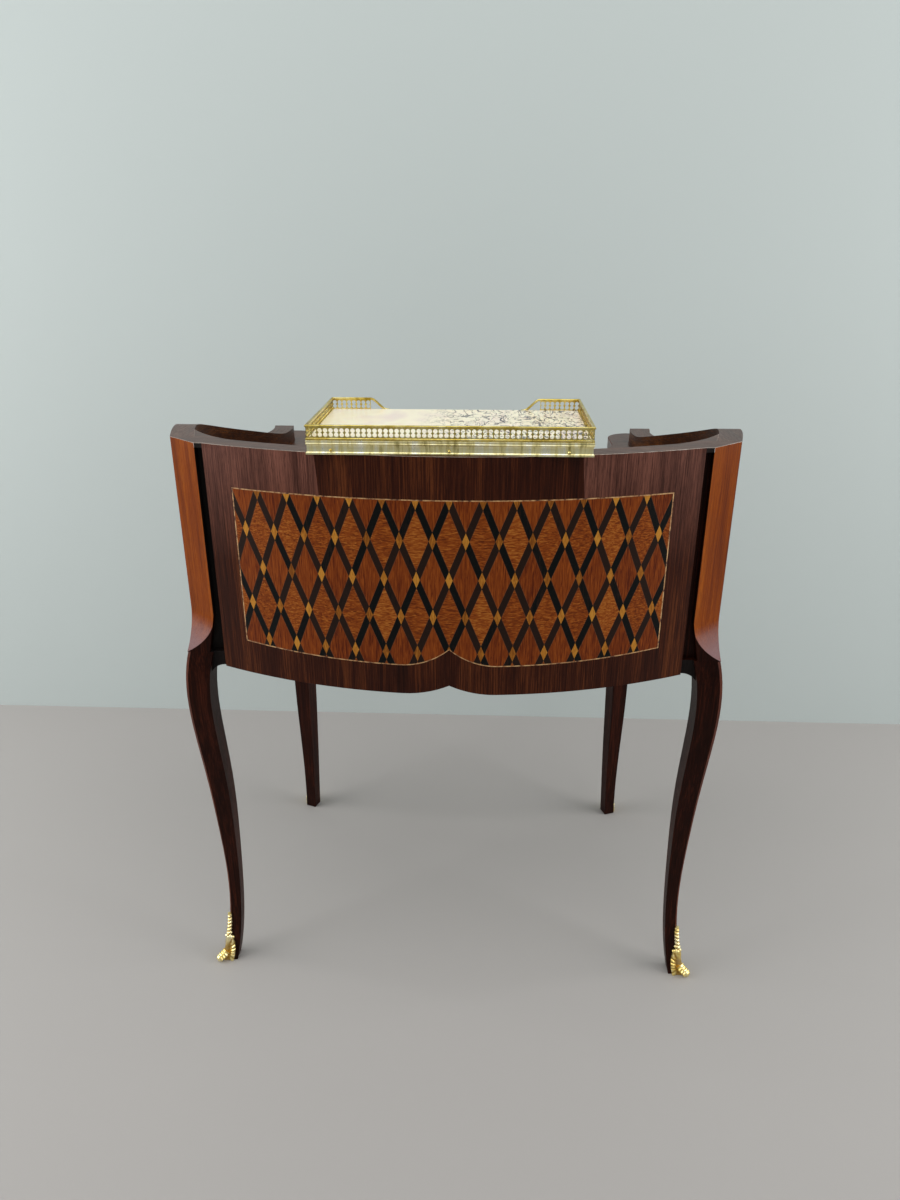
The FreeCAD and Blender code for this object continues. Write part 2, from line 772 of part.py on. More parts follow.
dust_board = across_carcass(-dust_half, dust_half, dust_low_z, drawer_bottom_z)
drawer_guide = across_carcass(drawer_half_width, dust_half, drawer_bottom_z, drawer_bottom_z + guide_height)
kicker_inner_x = drawer_half_width - kicker_width
drawer_kicker = across_carcass(kicker_inner_x, drawer_half_width, drawer_top_z, table_under_z)
stop_y = frieze_drawer_back_y + running_clearance
drawer_stop = box(stop_inset, stop_inset + stop_size, stop_y, stop_y + stop_size,
                  drawer_bottom_z, drawer_bottom_z + stop_height)
glue_block_y = back_face_y(glue_block_spread + glue_block_length, back_inner_radius) - glue_block_size
glue_block = before_back(box(glue_block_spread, glue_block_spread + glue_block_length, glue_block_y, back_y,
                             dust_low_z - glue_block_size, dust_low_z))

# Nest of drawers that carries the tray
tray_half = tray_width / 2
tray_back_y = back_y - tray_back_inset
tray_front_y = tray_back_y - tray_depth
tray_middle_y = (tray_back_y + tray_front_y) / 2
gradin_half = tray_half - gradin_margin
gradin_face_y = tray_front_y + gradin_margin
gradin_under_z = rim_height - gradin_board
divider_half = gradin_divider_thickness / 2
gradin_top = before_back(box(-gradin_half, gradin_half, gradin_face_y, back_y, gradin_under_z, rim_height))
gradin_end = before_back(box(gradin_half - gradin_board, gradin_half, gradin_face_y, back_y,
                             table_height, gradin_under_z))
gradin_divider = before_back(box(-divider_half, divider_half, gradin_face_y, back_y,
                                 table_height, gradin_under_z))

# Right drawer of the nest
nest_x0 = divider_half + running_clearance
nest_x1 = gradin_half - gradin_board - running_clearance
nest_z0 = table_height + running_clearance
nest_z1 = gradin_under_z - running_clearance
nest_box_y = gradin_face_y + gradin_drawer_front
nest_rear_y = back_face_y(gradin_half, back_inner_radius) - gradin_drawer_rear_gap
nest_front = box(nest_x0, nest_x1, gradin_face_y, nest_box_y, nest_z0, nest_z1)
nest_side_low, nest_side_high, nest_back, nest_bottom = drawer_box(
    nest_x0, nest_x1, nest_box_y, nest_rear_y, nest_z0, nest_z1 - drawer_side_drop,
    gradin_drawer_side, gradin_drawer_base, drawer_base_lift, drawer_groove)
nest_sides = Part.Compound([nest_side_low, nest_side_high])
nest_knob = knob(gradin_knob_radius, gradin_knob_length)
nest_knob.translate(Vector((nest_x0 + nest_x1) / 2, gradin_face_y, (nest_z0 + nest_z1) / 2))

# Marble slab and the moulded brass band round it
band_top_z = rim_height + band_height
marble_top = box(-tray_half + band_thickness, tray_half - band_thickness, tray_front_y + band_thickness,
                 tray_back_y - band_thickness, rim_height, rim_height + marble_thickness)


# Straight band along X, its outer face at a given distance from the tray's middle, mitred at both ends
def band_strip(half_length, face_at):
    def point(out, z):
        return Vector(-half_length, face_at - band_thickness + out, rim_height + z)

    hollow = point(band_thickness - band_hollow, band_height / 2)
    edges = [
        line(point(0, 0), point(band_thickness, 0)),
        line(point(band_thickness, 0), point(band_thickness, band_bead)),
        arc(point(band_thickness, band_bead), hollow, point(band_thickness, band_height - band_bead)),
        line(point(band_thickness, band_height - band_bead), point(band_thickness, band_height)),
        line(point(band_thickness, band_height), point(0, band_height)),
        line(point(0, band_height), point(0, 0)),
    ]
    strip = Part.Face(Part.Wire(edges)).extrude(Vector(2 * half_length, 0, 0))
    mitre = [
        (-half_length, face_at),
        (half_length, face_at),
        (half_length - band_thickness, face_at - band_thickness),
        (-half_length + band_thickness, face_at - band_thickness),
    ]
    return strip.common(prism(mitre, rim_height, band_top_z))


def turned_about_tray(shape, degrees):
    turned = shape.copy()
    turned.rotate(Vector(0, 0, 0), Vector(0, 0, 1), degrees)
    turned.translate(Vector(0, tray_middle_y, 0))
    return turned


band_rear = turned_about_tray(band_strip(tray_half, tray_depth / 2), 0)
band_left = turned_about_tray(band_strip(tray_depth / 2, tray_half), 90)
band_front = turned_about_tray(band_strip(tray_half, tray_depth / 2), 180)
band_right = turned_about_tray(band_strip(tray_depth / 2, tray_half), 270)


# Domed pins in the hollow of the band
def band_pin(along, face_at, degrees, band):
    centre = Vector(along, face_at - band_hollow, rim_height + pin_rise)
    dome = Part.makeSphere(pin_radius, centre, Vector(0, 1, 0), 0, 90, 360)
    return turned_about_tray(dome, degrees).cut(band)


pins = []
for along in (-pin_long_spread, 0, pin_long_spread):
    pins.append(band_pin(along, tray_depth / 2, 0, band_rear))
    pins.append(band_pin(along, tray_depth / 2, 180, band_front))
for along in (-pin_side_spread, pin_side_spread):
    pins.append(band_pin(along, tray_half, 90, band_left))
    pins.append(band_pin(along, tray_half, 270, band_right))
band_pins = Part.Compound(pins)

# Pierced gallery standing on the middle of the band
gallery_inset = (band_thickness - gallery_thickness) / 2
gallery_top_z = band_top_z + gallery_height
slot_low_z = band_top_z + gallery_rail
slot_high_z = gallery_top_z - gallery_rail


# One round-headed piercing, in the plane Y = 0
def gallery_slot_wire(x):
    low_left = Vector(x - gallery_slot / 2, 0, slot_low_z)
    low_right = Vector(x + gallery_slot / 2, 0, slot_low_z)
    spring_z = slot_high_z - gallery_slot / 2
    high_left = Vector(low_left.x, 0, spring_z)
    high_right = Vector(low_right.x, 0, spring_z)
    return Part.Wire([
        line(low_left, low_right),
        line(low_right, high_right),
        arc(high_right, Vector(x, 0, slot_high_z), high_left),
        line(high_left, low_left),
    ])


# Pierced strip from one X to another, pierced up to a third; the rest sweeps down to the band
def pierced_strip(x0, x1, pierced_to):
    run = pierced_to - x0
    count = int((abs(run) - 2 * gallery_rail + gallery_pitch - gallery_slot) / gallery_pitch)
    middle = (x0 + pierced_to) / 2
    slots = []
    for number in range(count):
        slots.append(gallery_slot_wire(middle + (number - (count - 1) / 2) * gallery_pitch))

    def point(x, z):
        return Vector(x, 0, z)

    end_z = slot_low_z if x1 != pierced_to else gallery_top_z
    edges = [
        line(point(x0, gallery_top_z), point(x0, band_top_z)),
        line(point(x0, band_top_z), point(x1, band_top_z)),
        line(point(x1, band_top_z), point(x1, end_z)),
    ]
    if x1 != pierced_to:
        sweep_x = pierced_to + (x1 - pierced_to) * (1 - cos_45)
        sweep_middle = point(sweep_x, gallery_top_z - (gallery_top_z - end_z) * cos_45)
        edges.append(arc(point(x1, end_z), sweep_middle, point(pierced_to, gallery_top_z)))
    edges.append(line(point(pierced_to, gallery_top_z), point(x0, gallery_top_z)))
    face = Part.makeFace([Part.Wire(edges)] + slots, "Part::FaceMakerBullseye")
    return face.extrude(Vector(0, gallery_thickness, 0))


def gallery_at(strip, face_at, degrees):
    moved = strip.copy()
    moved.translate(Vector(0, face_at - gallery_inset - gallery_thickness, 0))
    return turned_about_tray(moved, degrees)


gallery_half = tray_half - gallery_inset
gallery_side_half = tray_depth / 2 - gallery_inset - gallery_thickness
gallery_rear = gallery_at(pierced_strip(-gallery_half, gallery_half, gallery_half), tray_depth / 2, 0)
gallery_left = gallery_at(pierced_strip(-gallery_side_half, gallery_side_half, gallery_side_half),
                          tray_half, 90)
return_end = gallery_half - return_length
return_pierced = return_end + return_sweep
gallery_return_left = gallery_at(pierced_strip(gallery_half, return_end, return_pierced), tray_depth / 2, 180)

# Carcass
save("back_panel", back_panel)
save("parquetry_field", parquetry_field)
save("parquetry_stringing", parquetry_stringing)
save_pair("rear_leg", rear_leg)
save_pair("front_leg", front_leg)
save_pair("rear_sabot", rear_sabot)
save_pair("front_sabot", front_sabot)
save_pair("side_panel", side_panel)
save_pair("wing_capping", wing_capping)
save("corner_blocks", both_sides(corner_block))
save("back_capping", back_capping)
save("table_top", table_top)
save("frieze_upper_rail", upper_rail)
save("frieze_lower_rail", lower_rail)
save_pair("frieze_stile", frieze_stile)
save_pair("lobe_return", lobe_return)
save("dust_board", dust_board)
save("drawer_guides", both_sides(drawer_guide))
save("drawer_kickers", both_sides(drawer_kicker))
save("drawer_stops", both_sides(drawer_stop))
save("glue_blocks", both_sides(glue_block))

# Nest of drawers, marble tray and gallery
save("gradin_top", gradin_top)
save_pair("gradin_end", gradin_end)
save("gradin_divider", gradin_divider)
save("marble_top", marble_top)
save("band_rear", band_rear)
save("band_front", band_front)
save("band_left", band_left)
save("band_right", band_right)
save("band_pins", band_pins)
save("gallery_rear", gallery_rear)
save("gallery_left", gallery_left)
save("gallery_right", mirrored(gallery_left))
save("gallery_return_left", gallery_return_left)
save("gallery_return_right", mirrored(gallery_return_left))

# Drawers
save("frieze_drawer_front", frieze_drawer_front)
save("frieze_drawer_side_left", frieze_drawer_boards[0])
save("frieze_drawer_side_right", frieze_drawer_boards[1])
save("frieze_drawer_back", frieze_drawer_boards[2])
save("frieze_drawer_bottom", frieze_drawer_boards[3])
save("frieze_drawer_knobs", Part.Compound([frieze_knob(-1), frieze_knob(1)]))
save_pair("gradin_drawer_front", nest_front)
save_pair("gradin_drawer_sides", nest_sides)
save_pair("gradin_drawer_back", nest_back)
save_pair("gradin_drawer_bottom", nest_bottom)
save_pair("gradin_drawer_knob", nest_knob)
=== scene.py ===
# %% [markdown]
# # A ladies writing desk with a parquetry back
# This lesson dresses a finished construction model. The boards, legs, drawers and
# brass strips arrive as a fixed frame, at their real size and in metres. We never move
# them: we give them wood, stone and metal, and put richer pieces in place of plain ones.
# +Z is up, +Y is the bowed back of the desk, -Y is the sitter's side.

# %% Load the fixed frame
import json
import math

import bmesh
import bpy
from mathutils import Matrix, Vector

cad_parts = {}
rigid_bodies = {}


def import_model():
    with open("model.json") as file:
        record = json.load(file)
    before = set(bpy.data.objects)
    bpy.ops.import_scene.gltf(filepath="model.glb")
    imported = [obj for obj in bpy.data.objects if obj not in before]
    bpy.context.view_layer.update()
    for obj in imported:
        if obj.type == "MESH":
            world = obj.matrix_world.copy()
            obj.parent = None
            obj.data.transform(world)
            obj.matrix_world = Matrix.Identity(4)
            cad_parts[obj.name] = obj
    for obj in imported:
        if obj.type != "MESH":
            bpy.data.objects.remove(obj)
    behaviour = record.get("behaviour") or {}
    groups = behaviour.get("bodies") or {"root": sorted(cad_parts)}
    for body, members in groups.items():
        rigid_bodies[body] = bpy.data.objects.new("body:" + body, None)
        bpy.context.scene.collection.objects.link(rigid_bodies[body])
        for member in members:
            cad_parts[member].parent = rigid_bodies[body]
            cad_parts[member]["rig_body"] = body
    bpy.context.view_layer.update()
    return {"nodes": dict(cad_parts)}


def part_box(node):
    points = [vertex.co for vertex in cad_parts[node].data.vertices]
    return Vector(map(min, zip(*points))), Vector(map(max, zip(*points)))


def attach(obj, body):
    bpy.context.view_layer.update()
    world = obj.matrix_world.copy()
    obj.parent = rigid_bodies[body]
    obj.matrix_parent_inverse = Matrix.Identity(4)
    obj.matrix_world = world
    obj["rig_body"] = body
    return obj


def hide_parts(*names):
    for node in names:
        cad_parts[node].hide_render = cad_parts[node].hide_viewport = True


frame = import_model()
nodes = frame["nodes"]

# %% [markdown]
# ## Small helpers
# Colours are written as people read them, as sRGB hex values, and one function turns
# them into the linear values that a shader needs. Another adds a node with its settings
# and links, so that a material reads as a short list of what feeds what. Where a socket
# is given a node instead of a value, the node's first usable output is linked to it.

# %% Colours and nodes
MM = 0.001


def linear(hex_colour):
    channels = [int(hex_colour[i:i + 2], 16) / 255 for i in (1, 3, 5)]
    return [c / 12.92 if c <= 0.04045 else ((c + 0.055) / 1.055) ** 2.4 for c in channels] + [1.0]


def feed(tree, node, inputs):
    for key, value in inputs.items():
        usable = [s for s in node.inputs if s.name == key and not s.is_unavailable]
        socket = node.inputs[key] if isinstance(key, int) else usable[0]
        if isinstance(value, bpy.types.Node):
            value = [s for s in value.outputs if not s.is_unavailable][0]
        if isinstance(value, bpy.types.NodeSocket):
            tree.links.new(value, socket)
        else:
            socket.default_value = linear(value) if isinstance(value, str) else value


def add(tree, kind, inputs=None, stops=(), **settings):
    node = tree.nodes.new(kind)
    for name, value in settings.items():
        setattr(node, name, value)
    feed(tree, node, inputs or {})
    for number, (position, value) in enumerate(stops):
        elements = node.color_ramp.elements
        element = elements[number] if number < 2 else elements.new(position)
        element.position = position
        element.color = linear(value) if isinstance(value, str) else (value, value, value, 1)
    return node


def new_material(name):
    material = bpy.data.materials.new(name)
    material.use_nodes = True
    tree = material.node_tree
    return material, tree, tree.nodes["Principled BSDF"]


print("mid grey in linear light is", round(linear("#808080")[0], 3))

# %% [markdown]
# ## The stage and the camera
# The desk was seen from behind, by someone standing close with a wide lens tilted down.
# The camera decides which side of each piece shows, so it comes first. A plain pale floor
# and a plain wall stand for the room. The wall is see-through from its back, so that
# views from the sitter's side aren't blocked.

# %% Floor, wall and camera
CAMERA_PLACE = Vector((-0.0435, 1.2465, 1.080))
CAMERA_PITCH = math.radians(22.85)
CAMERA_YAW = math.radians(2.44)
FOCAL_PIXELS = 866
IMAGE_HEIGHT = 1200
SENSOR_MM = 36.0
WALL_Y = -0.594
STAGE_HALF = 4.0


def linked(name, data):
    thing = bpy.data.objects.new(name, data)
    bpy.context.collection.objects.link(thing)
    return thing


def flat_sheet(name, corners, material):
    mesh = bpy.data.meshes.new(name)
    mesh.from_pydata(corners, [], [(0, 1, 2, 3)])
    mesh.materials.append(material)
    thing = linked(name, mesh)


def aimed(data, place, direction):
    thing = linked(data.name, data)
    thing.location = place
    thing.rotation_euler = direction.to_track_quat("-Z", "Y").to_euler()
    return thing


floor_paint, tree, shader = new_material("matt_grey_floor_paint")
feed(tree, shader, {"Base Color": "#a29e9b", "Roughness": 0.75})
wall_paint, tree, shader = new_material("matt_grey_wall_paint")
feed(tree, shader, {"Base Color": "#b9c1bf", "Roughness": 0.85})
clear = add(tree, "ShaderNodeBsdfTransparent")
behind = add(tree, "ShaderNodeNewGeometry").outputs["Backfacing"]
one_sided = add(tree, "ShaderNodeMixShader", {0: behind, 1: shader, 2: clear})
feed(tree, tree.nodes["Material Output"], {"Surface": one_sided})

near, far = -STAGE_HALF, STAGE_HALF
flat_sheet("floor", [(near, near, 0), (far, near, 0), (far, far, 0), (near, far, 0)], floor_paint)
wall_corners = [(far, WALL_Y, 0), (near, WALL_Y, 0), (near, WALL_Y, far), (far, WALL_Y, far)]
flat_sheet("wall", wall_corners, wall_paint)

camera_data = bpy.data.cameras.new("camera")
camera_data.sensor_width = SENSOR_MM
camera_data.lens = SENSOR_MM * FOCAL_PIXELS / IMAGE_HEIGHT
level = math.cos(CAMERA_PITCH)
looking = Vector((math.sin(CAMERA_YAW) * level, -math.cos(CAMERA_YAW) * level, -math.sin(CAMERA_PITCH)))
scene = bpy.context.scene
scene.camera = aimed(camera_data, CAMERA_PLACE, looking)
scene.view_settings.view_transform = "Standard"
print("camera lens", round(camera_data.lens, 2), "mm")

# %% [markdown]
# ## Light
# Polished wood and brass show the room they stand in, so the light comes from a few
# large soft panels rather than from small lamps. One hangs over the desk on the camera's
# side, one stands for a window at each side, a weaker one lights the sitter's side, and
# the world fills the shadows with a pale grey. A colour then renders about as it is written.

# %% Soft panels and the world
# Place, aim, width and height in metres, and watts
LIGHTS = {
    "ceiling_panel": ((0.2, 0.85, 2.8), (0.1, 0.2, 0), (2.6, 1.8), 26),
    "window_side": ((2.5, 0.55, 1.35), (0, 0.1, 0.7), (2.0, 2.0), 56),
    "room_side": ((-2.5, 0.45, 1.35), (0, 0.1, 0.7), (1.8, 2.0), 52),
    "sitter_side": ((0, -2.4, 2.4), (0, 0, 0.5), (2.0, 1.6), 22),
}

for name, (place, target, (width, height), watts) in LIGHTS.items():
    lamp = bpy.data.lights.new(name, "AREA")
    lamp.shape = "RECTANGLE"
    lamp.size, lamp.size_y = width, height
    lamp.energy = watts
    aimed(lamp, place, Vector(target) - Vector(place))

world = bpy.data.worlds.new("room")
world.use_nodes = True
feed(world.node_tree, world.node_tree.nodes["Background"], {"Color": "#dde2e2", "Strength": 0.45})
scene.world = world
print("lamps:", sorted(LIGHTS))

# %% [markdown]
# ## French polished rosewood
# The desk is veneered in dark rosewood that was rubbed with shellac until it shone. The
# eye finds broad dark and light bands along the grain, thin streaks within them, and
# fine open pores. A picture of wood would fit one board only, so each of these is a noise
# pattern, stretched along the grain at its own width in millimetres. Real pores are about
# 0.2 mm wide; they are drawn three times as wide so that they show. The back is laid from
# three leaves of veneer; the outer two carry a painted purple-grey sheen towards the rim.
# Faces that look upwards get a painted grey sheen. A corner block's grain is turned with it.

# %% A polished wood
# Size of each pattern across and along the grain, then the detail of its noise
GRAIN_LAYERS_MM = {
    "wide": ((38, 700), 2),
    "figure": ((11, 260), 5),
    "streak": ((1.7, 90), 3),
    "pore": ((0.6, 14), 2),
}
DARK_AT, MIDDLE_AT, LIGHT_AT = 0.36, 0.5, 0.66
PORE_FROM, PORE_TO = 0.36, 0.5
PORE_DARK = 0.55
PORE_ROUGHER = 0.14
WOOD_IOR = 1.5
# The leaves lean about one height; their painted sheen grows between two others, in metres
LEAF_WIDE_MM = 320
LEAF_SLANT = 0.075
LEAF_SLANT_FROM = 0.81
LEAF_APART = 37.0
SHEEN_FROM, SHEEN_TO = 0.69, 0.83


def scale_of(size_mm):
    return [1 / (size * MM) for size in size_mm]


def grain_scale(grain, size_mm):
    across, along = scale_of(size_mm)
    return [along if axis == grain else across for axis in "XYZ"]


def leaf_number(tree, place):
    origin = (0, 0, LEAF_SLANT_FROM)
    centred = add(tree, "ShaderNodeVectorMath", {0: place, 1: origin}, operation="SUBTRACT")
    across = (1, 0, -LEAF_SLANT)
    slanted = add(tree, "ShaderNodeVectorMath", {0: centred, 1: across}, operation="DOT_PRODUCT")
    sizes = {0: slanted.outputs["Value"], 1: LEAF_WIDE_MM * MM}
    counted = add(tree, "ShaderNodeMath", sizes, operation="DIVIDE")
    return add(tree, "ShaderNodeMath", {0: counted}, operation="ROUND")


def grain_patterns(tree, place, grain, leaf):
    moved = add(tree, "ShaderNodeMath", {0: leaf, 1: LEAF_APART}, operation="MULTIPLY")
    patterns = []
    for size_mm, detail in GRAIN_LAYERS_MM.values():
        laid = add(tree, "ShaderNodeMapping", {"Vector": place, "Scale": grain_scale(grain, size_mm)})
        noise = {"Vector": laid, "W": moved, "Scale": 1.0, "Detail": detail,
                 "Roughness": 0.6, "Distortion": 0.5}
        patterns.append(add(tree, "ShaderNodeTexNoise", noise, noise_dimensions="4D"))
    return patterns


# A painted purple-grey sheen, a painted reflection, on the outer leaves towards the rim
def leaves_with_painted_sheen(tree, place, leaf, blend, body, tones):
    beside = add(tree, "ShaderNodeMath", {0: leaf}, operation="ABSOLUTE")
    height = add(tree, "ShaderNodeSeparateXYZ", {"Vector": place}).outputs["Z"]
    heights = {"Value": height, "From Min": SHEEN_FROM, "From Max": SHEEN_TO}
    sheen_rise = add(tree, "ShaderNodeMapRange", heights)
    outer = add(tree, "ShaderNodeMath", {0: beside, 1: sheen_rise}, operation="MULTIPLY")
    leaf_sheen = add(tree, "ShaderNodeValToRGB", {"Fac": blend}, [(DARK_AT, tones[0]), (LIGHT_AT, tones[1])])
    return add(tree, "ShaderNodeMix", {"Factor": outer, "A": body, "B": leaf_sheen}, data_type="RGBA")


# A painted grey sheen on faces that look upwards, a painted reflection of the ceiling
def with_painted_sheen(tree, body, sheen_colour):
    facing = add(tree, "ShaderNodeNewGeometry").outputs["Normal"]
    upward = add(tree, "ShaderNodeSeparateXYZ", {"Vector": facing}).outputs["Z"]
    shares = {"Value": upward, "From Min": 0.1, "From Max": 0.65, "To Max": 0.85}
    sheen_share = add(tree, "ShaderNodeMapRange", shares)
    return add(tree, "ShaderNodeMix", {"Factor": sheen_share, "A": body, "B": sheen_colour}, data_type="RGBA")


def polished_wood(name, grain, dark, middle, light, side_leaf_sheen=None, sheen_colour=None, turn=0.0,
                  coat=0.1, gloss=0.36, shine=0.2):
    material, tree, shader = new_material(name)
    place = add(tree, "ShaderNodeTexCoord").outputs["Object"]
    if turn:
        turned = {"Vector": place, "Angle": -turn}
        place = add(tree, "ShaderNodeVectorRotate", turned, rotation_type="Z_AXIS")
    leaf = leaf_number(tree, place) if side_leaf_sheen else 0.0
    wide, figure, streak, pore = grain_patterns(tree, place, grain, leaf)
    broad = add(tree, "ShaderNodeMix", {"Factor": 0.5, "A": wide, "B": figure})
    blend = add(tree, "ShaderNodeMix", {"Factor": 0.45, "A": broad, "B": streak})
    tones = [(DARK_AT, dark), (LIGHT_AT, light), (MIDDLE_AT, middle)]
    body = add(tree, "ShaderNodeValToRGB", {"Fac": blend}, tones)
    if side_leaf_sheen:
        body = leaves_with_painted_sheen(tree, place, leaf, blend, body, side_leaf_sheen)
    if sheen_colour:
        body = with_painted_sheen(tree, body, sheen_colour)
    pores = add(tree, "ShaderNodeValToRGB", {"Fac": pore}, [(PORE_FROM, 1.0), (PORE_TO, 0.0)])
    depth = add(tree, "ShaderNodeMath", {0: pores, 1: PORE_DARK}, operation="MULTIPLY")
    colour = add(tree, "ShaderNodeMix", {"Factor": depth, "A": body, "B": dark}, data_type="RGBA")
    rough = add(tree, "ShaderNodeMapRange", {"Value": pore, "From Min": 0.35, "From Max": 0.6,
                                             "To Min": gloss + PORE_ROUGHER, "To Max": gloss})
    relief = add(tree, "ShaderNodeMath", {0: pores, 1: streak}, operation="SUBTRACT")
    raised = {"Strength": 0.12, "Distance": 0.12 * MM, "Height": relief}
    bump = add(tree, "ShaderNodeBump", raised, invert=True)
    feed(tree, shader, {"Base Color": colour, "Roughness": rough, "Normal": bump, "IOR": WOOD_IOR,
                        "Specular IOR Level": shine, "Coat Weight": coat, "Coat Roughness": 0.14})
    return material


print("grain patterns:", list(GRAIN_LAYERS_MM))

# %% [markdown]
# ## The woods of the desk
# One recipe serves every board: only the way of the grain, three tones and the polish
# change. The rim is the glossiest, because sleeves keep rubbing it. A thin clear coat
# gives the shellac's second, sharper reflection; the waxed oak of the linings has none.

# %% Rosewood in several cuts
CORNER_TURN = math.radians(42)
INNER_TONES = ("#160904", "#3a1c0a", "#6e3f18")
RIM_TONES = ("#26120a", "#472617", "#683d26")
LEG_FINISH = {"coat": 0.04, "shine": 0.05}
INNER_FINISH = {"coat": 0.05, "shine": 0.06}
RIM_FINISH = {"coat": 0.13, "gloss": 0.3, "shine": 0.22}

# The outer leaves of the back carry a painted sheen towards the rim
back_veneer = polished_wood("rosewood_veneer_leaves", "Z", "#190805", "#38170b", "#6e3a1c",
                            side_leaf_sheen=("#2a1410", "#8c5a4c"), coat=0.05, shine=0.08)
post_wood = polished_wood("rosewood_upright_grain", "Z", "#100503", "#240d07", "#481f11", **LEG_FINISH)
# The canted faces get the painted grey-mauve sheen where they look upwards, in the cove
cant_wood = polished_wood("tulipwood_canted_face", "Z", "#54210a", "#7e3a08", "#a05610",
                          sheen_colour="#7c6466", coat=0.05, shine=0.03)
edge_wood = polished_wood("rosewood_chamfer", "Z", "#2c1009", "#502212", "#74402a", **LEG_FINISH)
# Near-black rosewood for the groove beside the back: a painted shade
groove_shade_wood = polished_wood("rosewood_shaded_joint", "Z", "#060303", "#0e0705", "#1c0e0a",
                           coat=0.0, gloss=0.6)
wing_inner = polished_wood("rosewood_wing_inside", "Y", *INNER_TONES, **INNER_FINISH)
corner_woods = {}
for side, turn in (("left", CORNER_TURN), ("right", -CORNER_TURN)):
    corner_woods[side] = polished_wood("rosewood_corner_" + side, "X", *INNER_TONES,
                                       turn=turn, **INNER_FINISH)
top_wood = polished_wood("rosewood_table_grain", "X", *RIM_TONES, **RIM_FINISH)
wing_wood = polished_wood("rosewood_wing_grain", "Y", *RIM_TONES, **RIM_FINISH)
# Pale rubbed wood for the rim's arris, with a painted white glint in its lightest tones
wear_and_glint_edge = polished_wood("rosewood_rubbed_edge", "X", "#5a4236", "#c4b6a8", "#fffaf2", coat=0.1)
oak = polished_wood("waxed_oak_lining", "Y", "#8a6236", "#a87d4a", "#c29a66", coat=0.0, gloss=0.55)
print("woods:", sorted(material.name for material in bpy.data.materials if "wood" in material.name))

# %% [markdown]
# ## Trellis parquetry
# The field on the back is a traditional trellis: dark strips cross in diamonds, a small
# light lozenge marks each crossing, and the large diamonds change their grain from row to
# row, so that every second row shimmers. The pieces lie flush, so a pattern in the
# material is true to the object. We unroll the bow into a length along the arc, turn
# that and the height into two slanted counts, and ask of each point how near it lies to a
# whole number. Each sum is a name, what is done, and the two things it is done to.

# %% The sums of the trellis
BOW_RADIUS = 0.826
FIELD_TOP = 0.788
LATTICE_ACROSS_MM = 40.6
LATTICE_DOWN_MM = 101.0
# Shares of the lattice: half a strip, half a glue line, and how far the glue shows
STRIP_HALF = 0.11
GLUE_LINE = 0.012
GLUE_SHOWS = 0.75


def trellis_sums():
    steps = [
        ("share", "DIVIDE", "x", BOW_RADIUS),
        ("angle", "ARCSINE", "share", 0.0),
        ("along", "MULTIPLY", "angle", BOW_RADIUS / (LATTICE_ACROSS_MM * MM)),
        ("drop", "SUBTRACT", FIELD_TOP, "z"),
        ("down", "DIVIDE", "drop", LATTICE_DOWN_MM * MM),
        ("rising", "ADD", "along", "down"),
        ("falling", "SUBTRACT", "along", "down"),
    ]
    for slant in ("rising", "falling"):
        steps += [
            (slant + "_line", "ROUND", slant, 0.0),
            (slant + "_cell", "FLOOR", slant, 0.0),
            (slant + "_gap", "SUBTRACT", slant, slant + "_line"),
            (slant + "_off", "ABSOLUTE", slant + "_gap", 0.0),
            (slant + "_strip", "LESS_THAN", slant + "_off", STRIP_HALF),
            (slant + "_edge", "SUBTRACT", slant + "_off", STRIP_HALF),
            (slant + "_edge_off", "ABSOLUTE", slant + "_edge", 0.0),
            (slant + "_glue", "LESS_THAN", slant + "_edge_off", GLUE_LINE),
        ]
    return steps + [
        ("crossing", "MULTIPLY", "rising_strip", "falling_strip"),
        ("strip", "MAXIMUM", "rising_strip", "falling_strip"),
        ("glue", "MAXIMUM", "rising_glue", "falling_glue"),
        ("thin_glue", "MULTIPLY", "glue", GLUE_SHOWS),
        ("row", "SUBTRACT", "rising_cell", "falling_cell"),
        ("odd_row", "FLOORED_MODULO", "row", 2.0),
    ]


print("lattice pieces are", 2 * LATTICE_ACROSS_MM, "by", 2 * LATTICE_DOWN_MM, "mm between repeats")

# %% [markdown]
# ## The veneers of the trellis
# Red and golden diamonds, ebony strips, pale lozenges: each veneer is a fine noise along
# its own grain, read through its own tones. A cutter takes the pieces from all over a
# sheet, so the counts number them and white noise gives each number its tone. The layers
# then go on as in the workshop: diamonds, glue line, strips, lozenges.

# %% Parquetry
# Two counts that number each kind of piece, and a number that keeps the kinds apart
PIECES = {
    "diamond": ("rising_cell", "falling_cell", 1.0),
    "rising": ("rising_line", "falling_cell", 3.0),
    "falling": ("falling_line", "rising_cell", 7.0),
    "lozenge": ("rising_line", "falling_line", 11.0),
}
# Way of the grain, its width and length in millimetres, how far the tones of the pieces lie
# apart, and the ramp: dark, light, then the tone between them
VENEERS = {
    "red": ("Z", (1.5, 22), 0.12, [(0.38, "#511c07"), (0.78, "#924815"), (0.56, "#75330c")]),
    "gold": ("X", (1.5, 9), 0.12, [(0.38, "#5e2707"), (0.76, "#ac6828"), (0.56, "#873f0f")]),
    "ebony": ("Z", (0.9, 16), 1.0, [(0.95, "#060807"), (1.0, "#22140d")]),
    "lozenge": ("Z", (1.2, 9), 0.45, [(0.45, "#744012"), (0.95, "#be8230"), (0.7, "#a0631f")]),
}
GLUE_COLOUR = "#5a3d2a"
GLUE_SUNK = -0.6


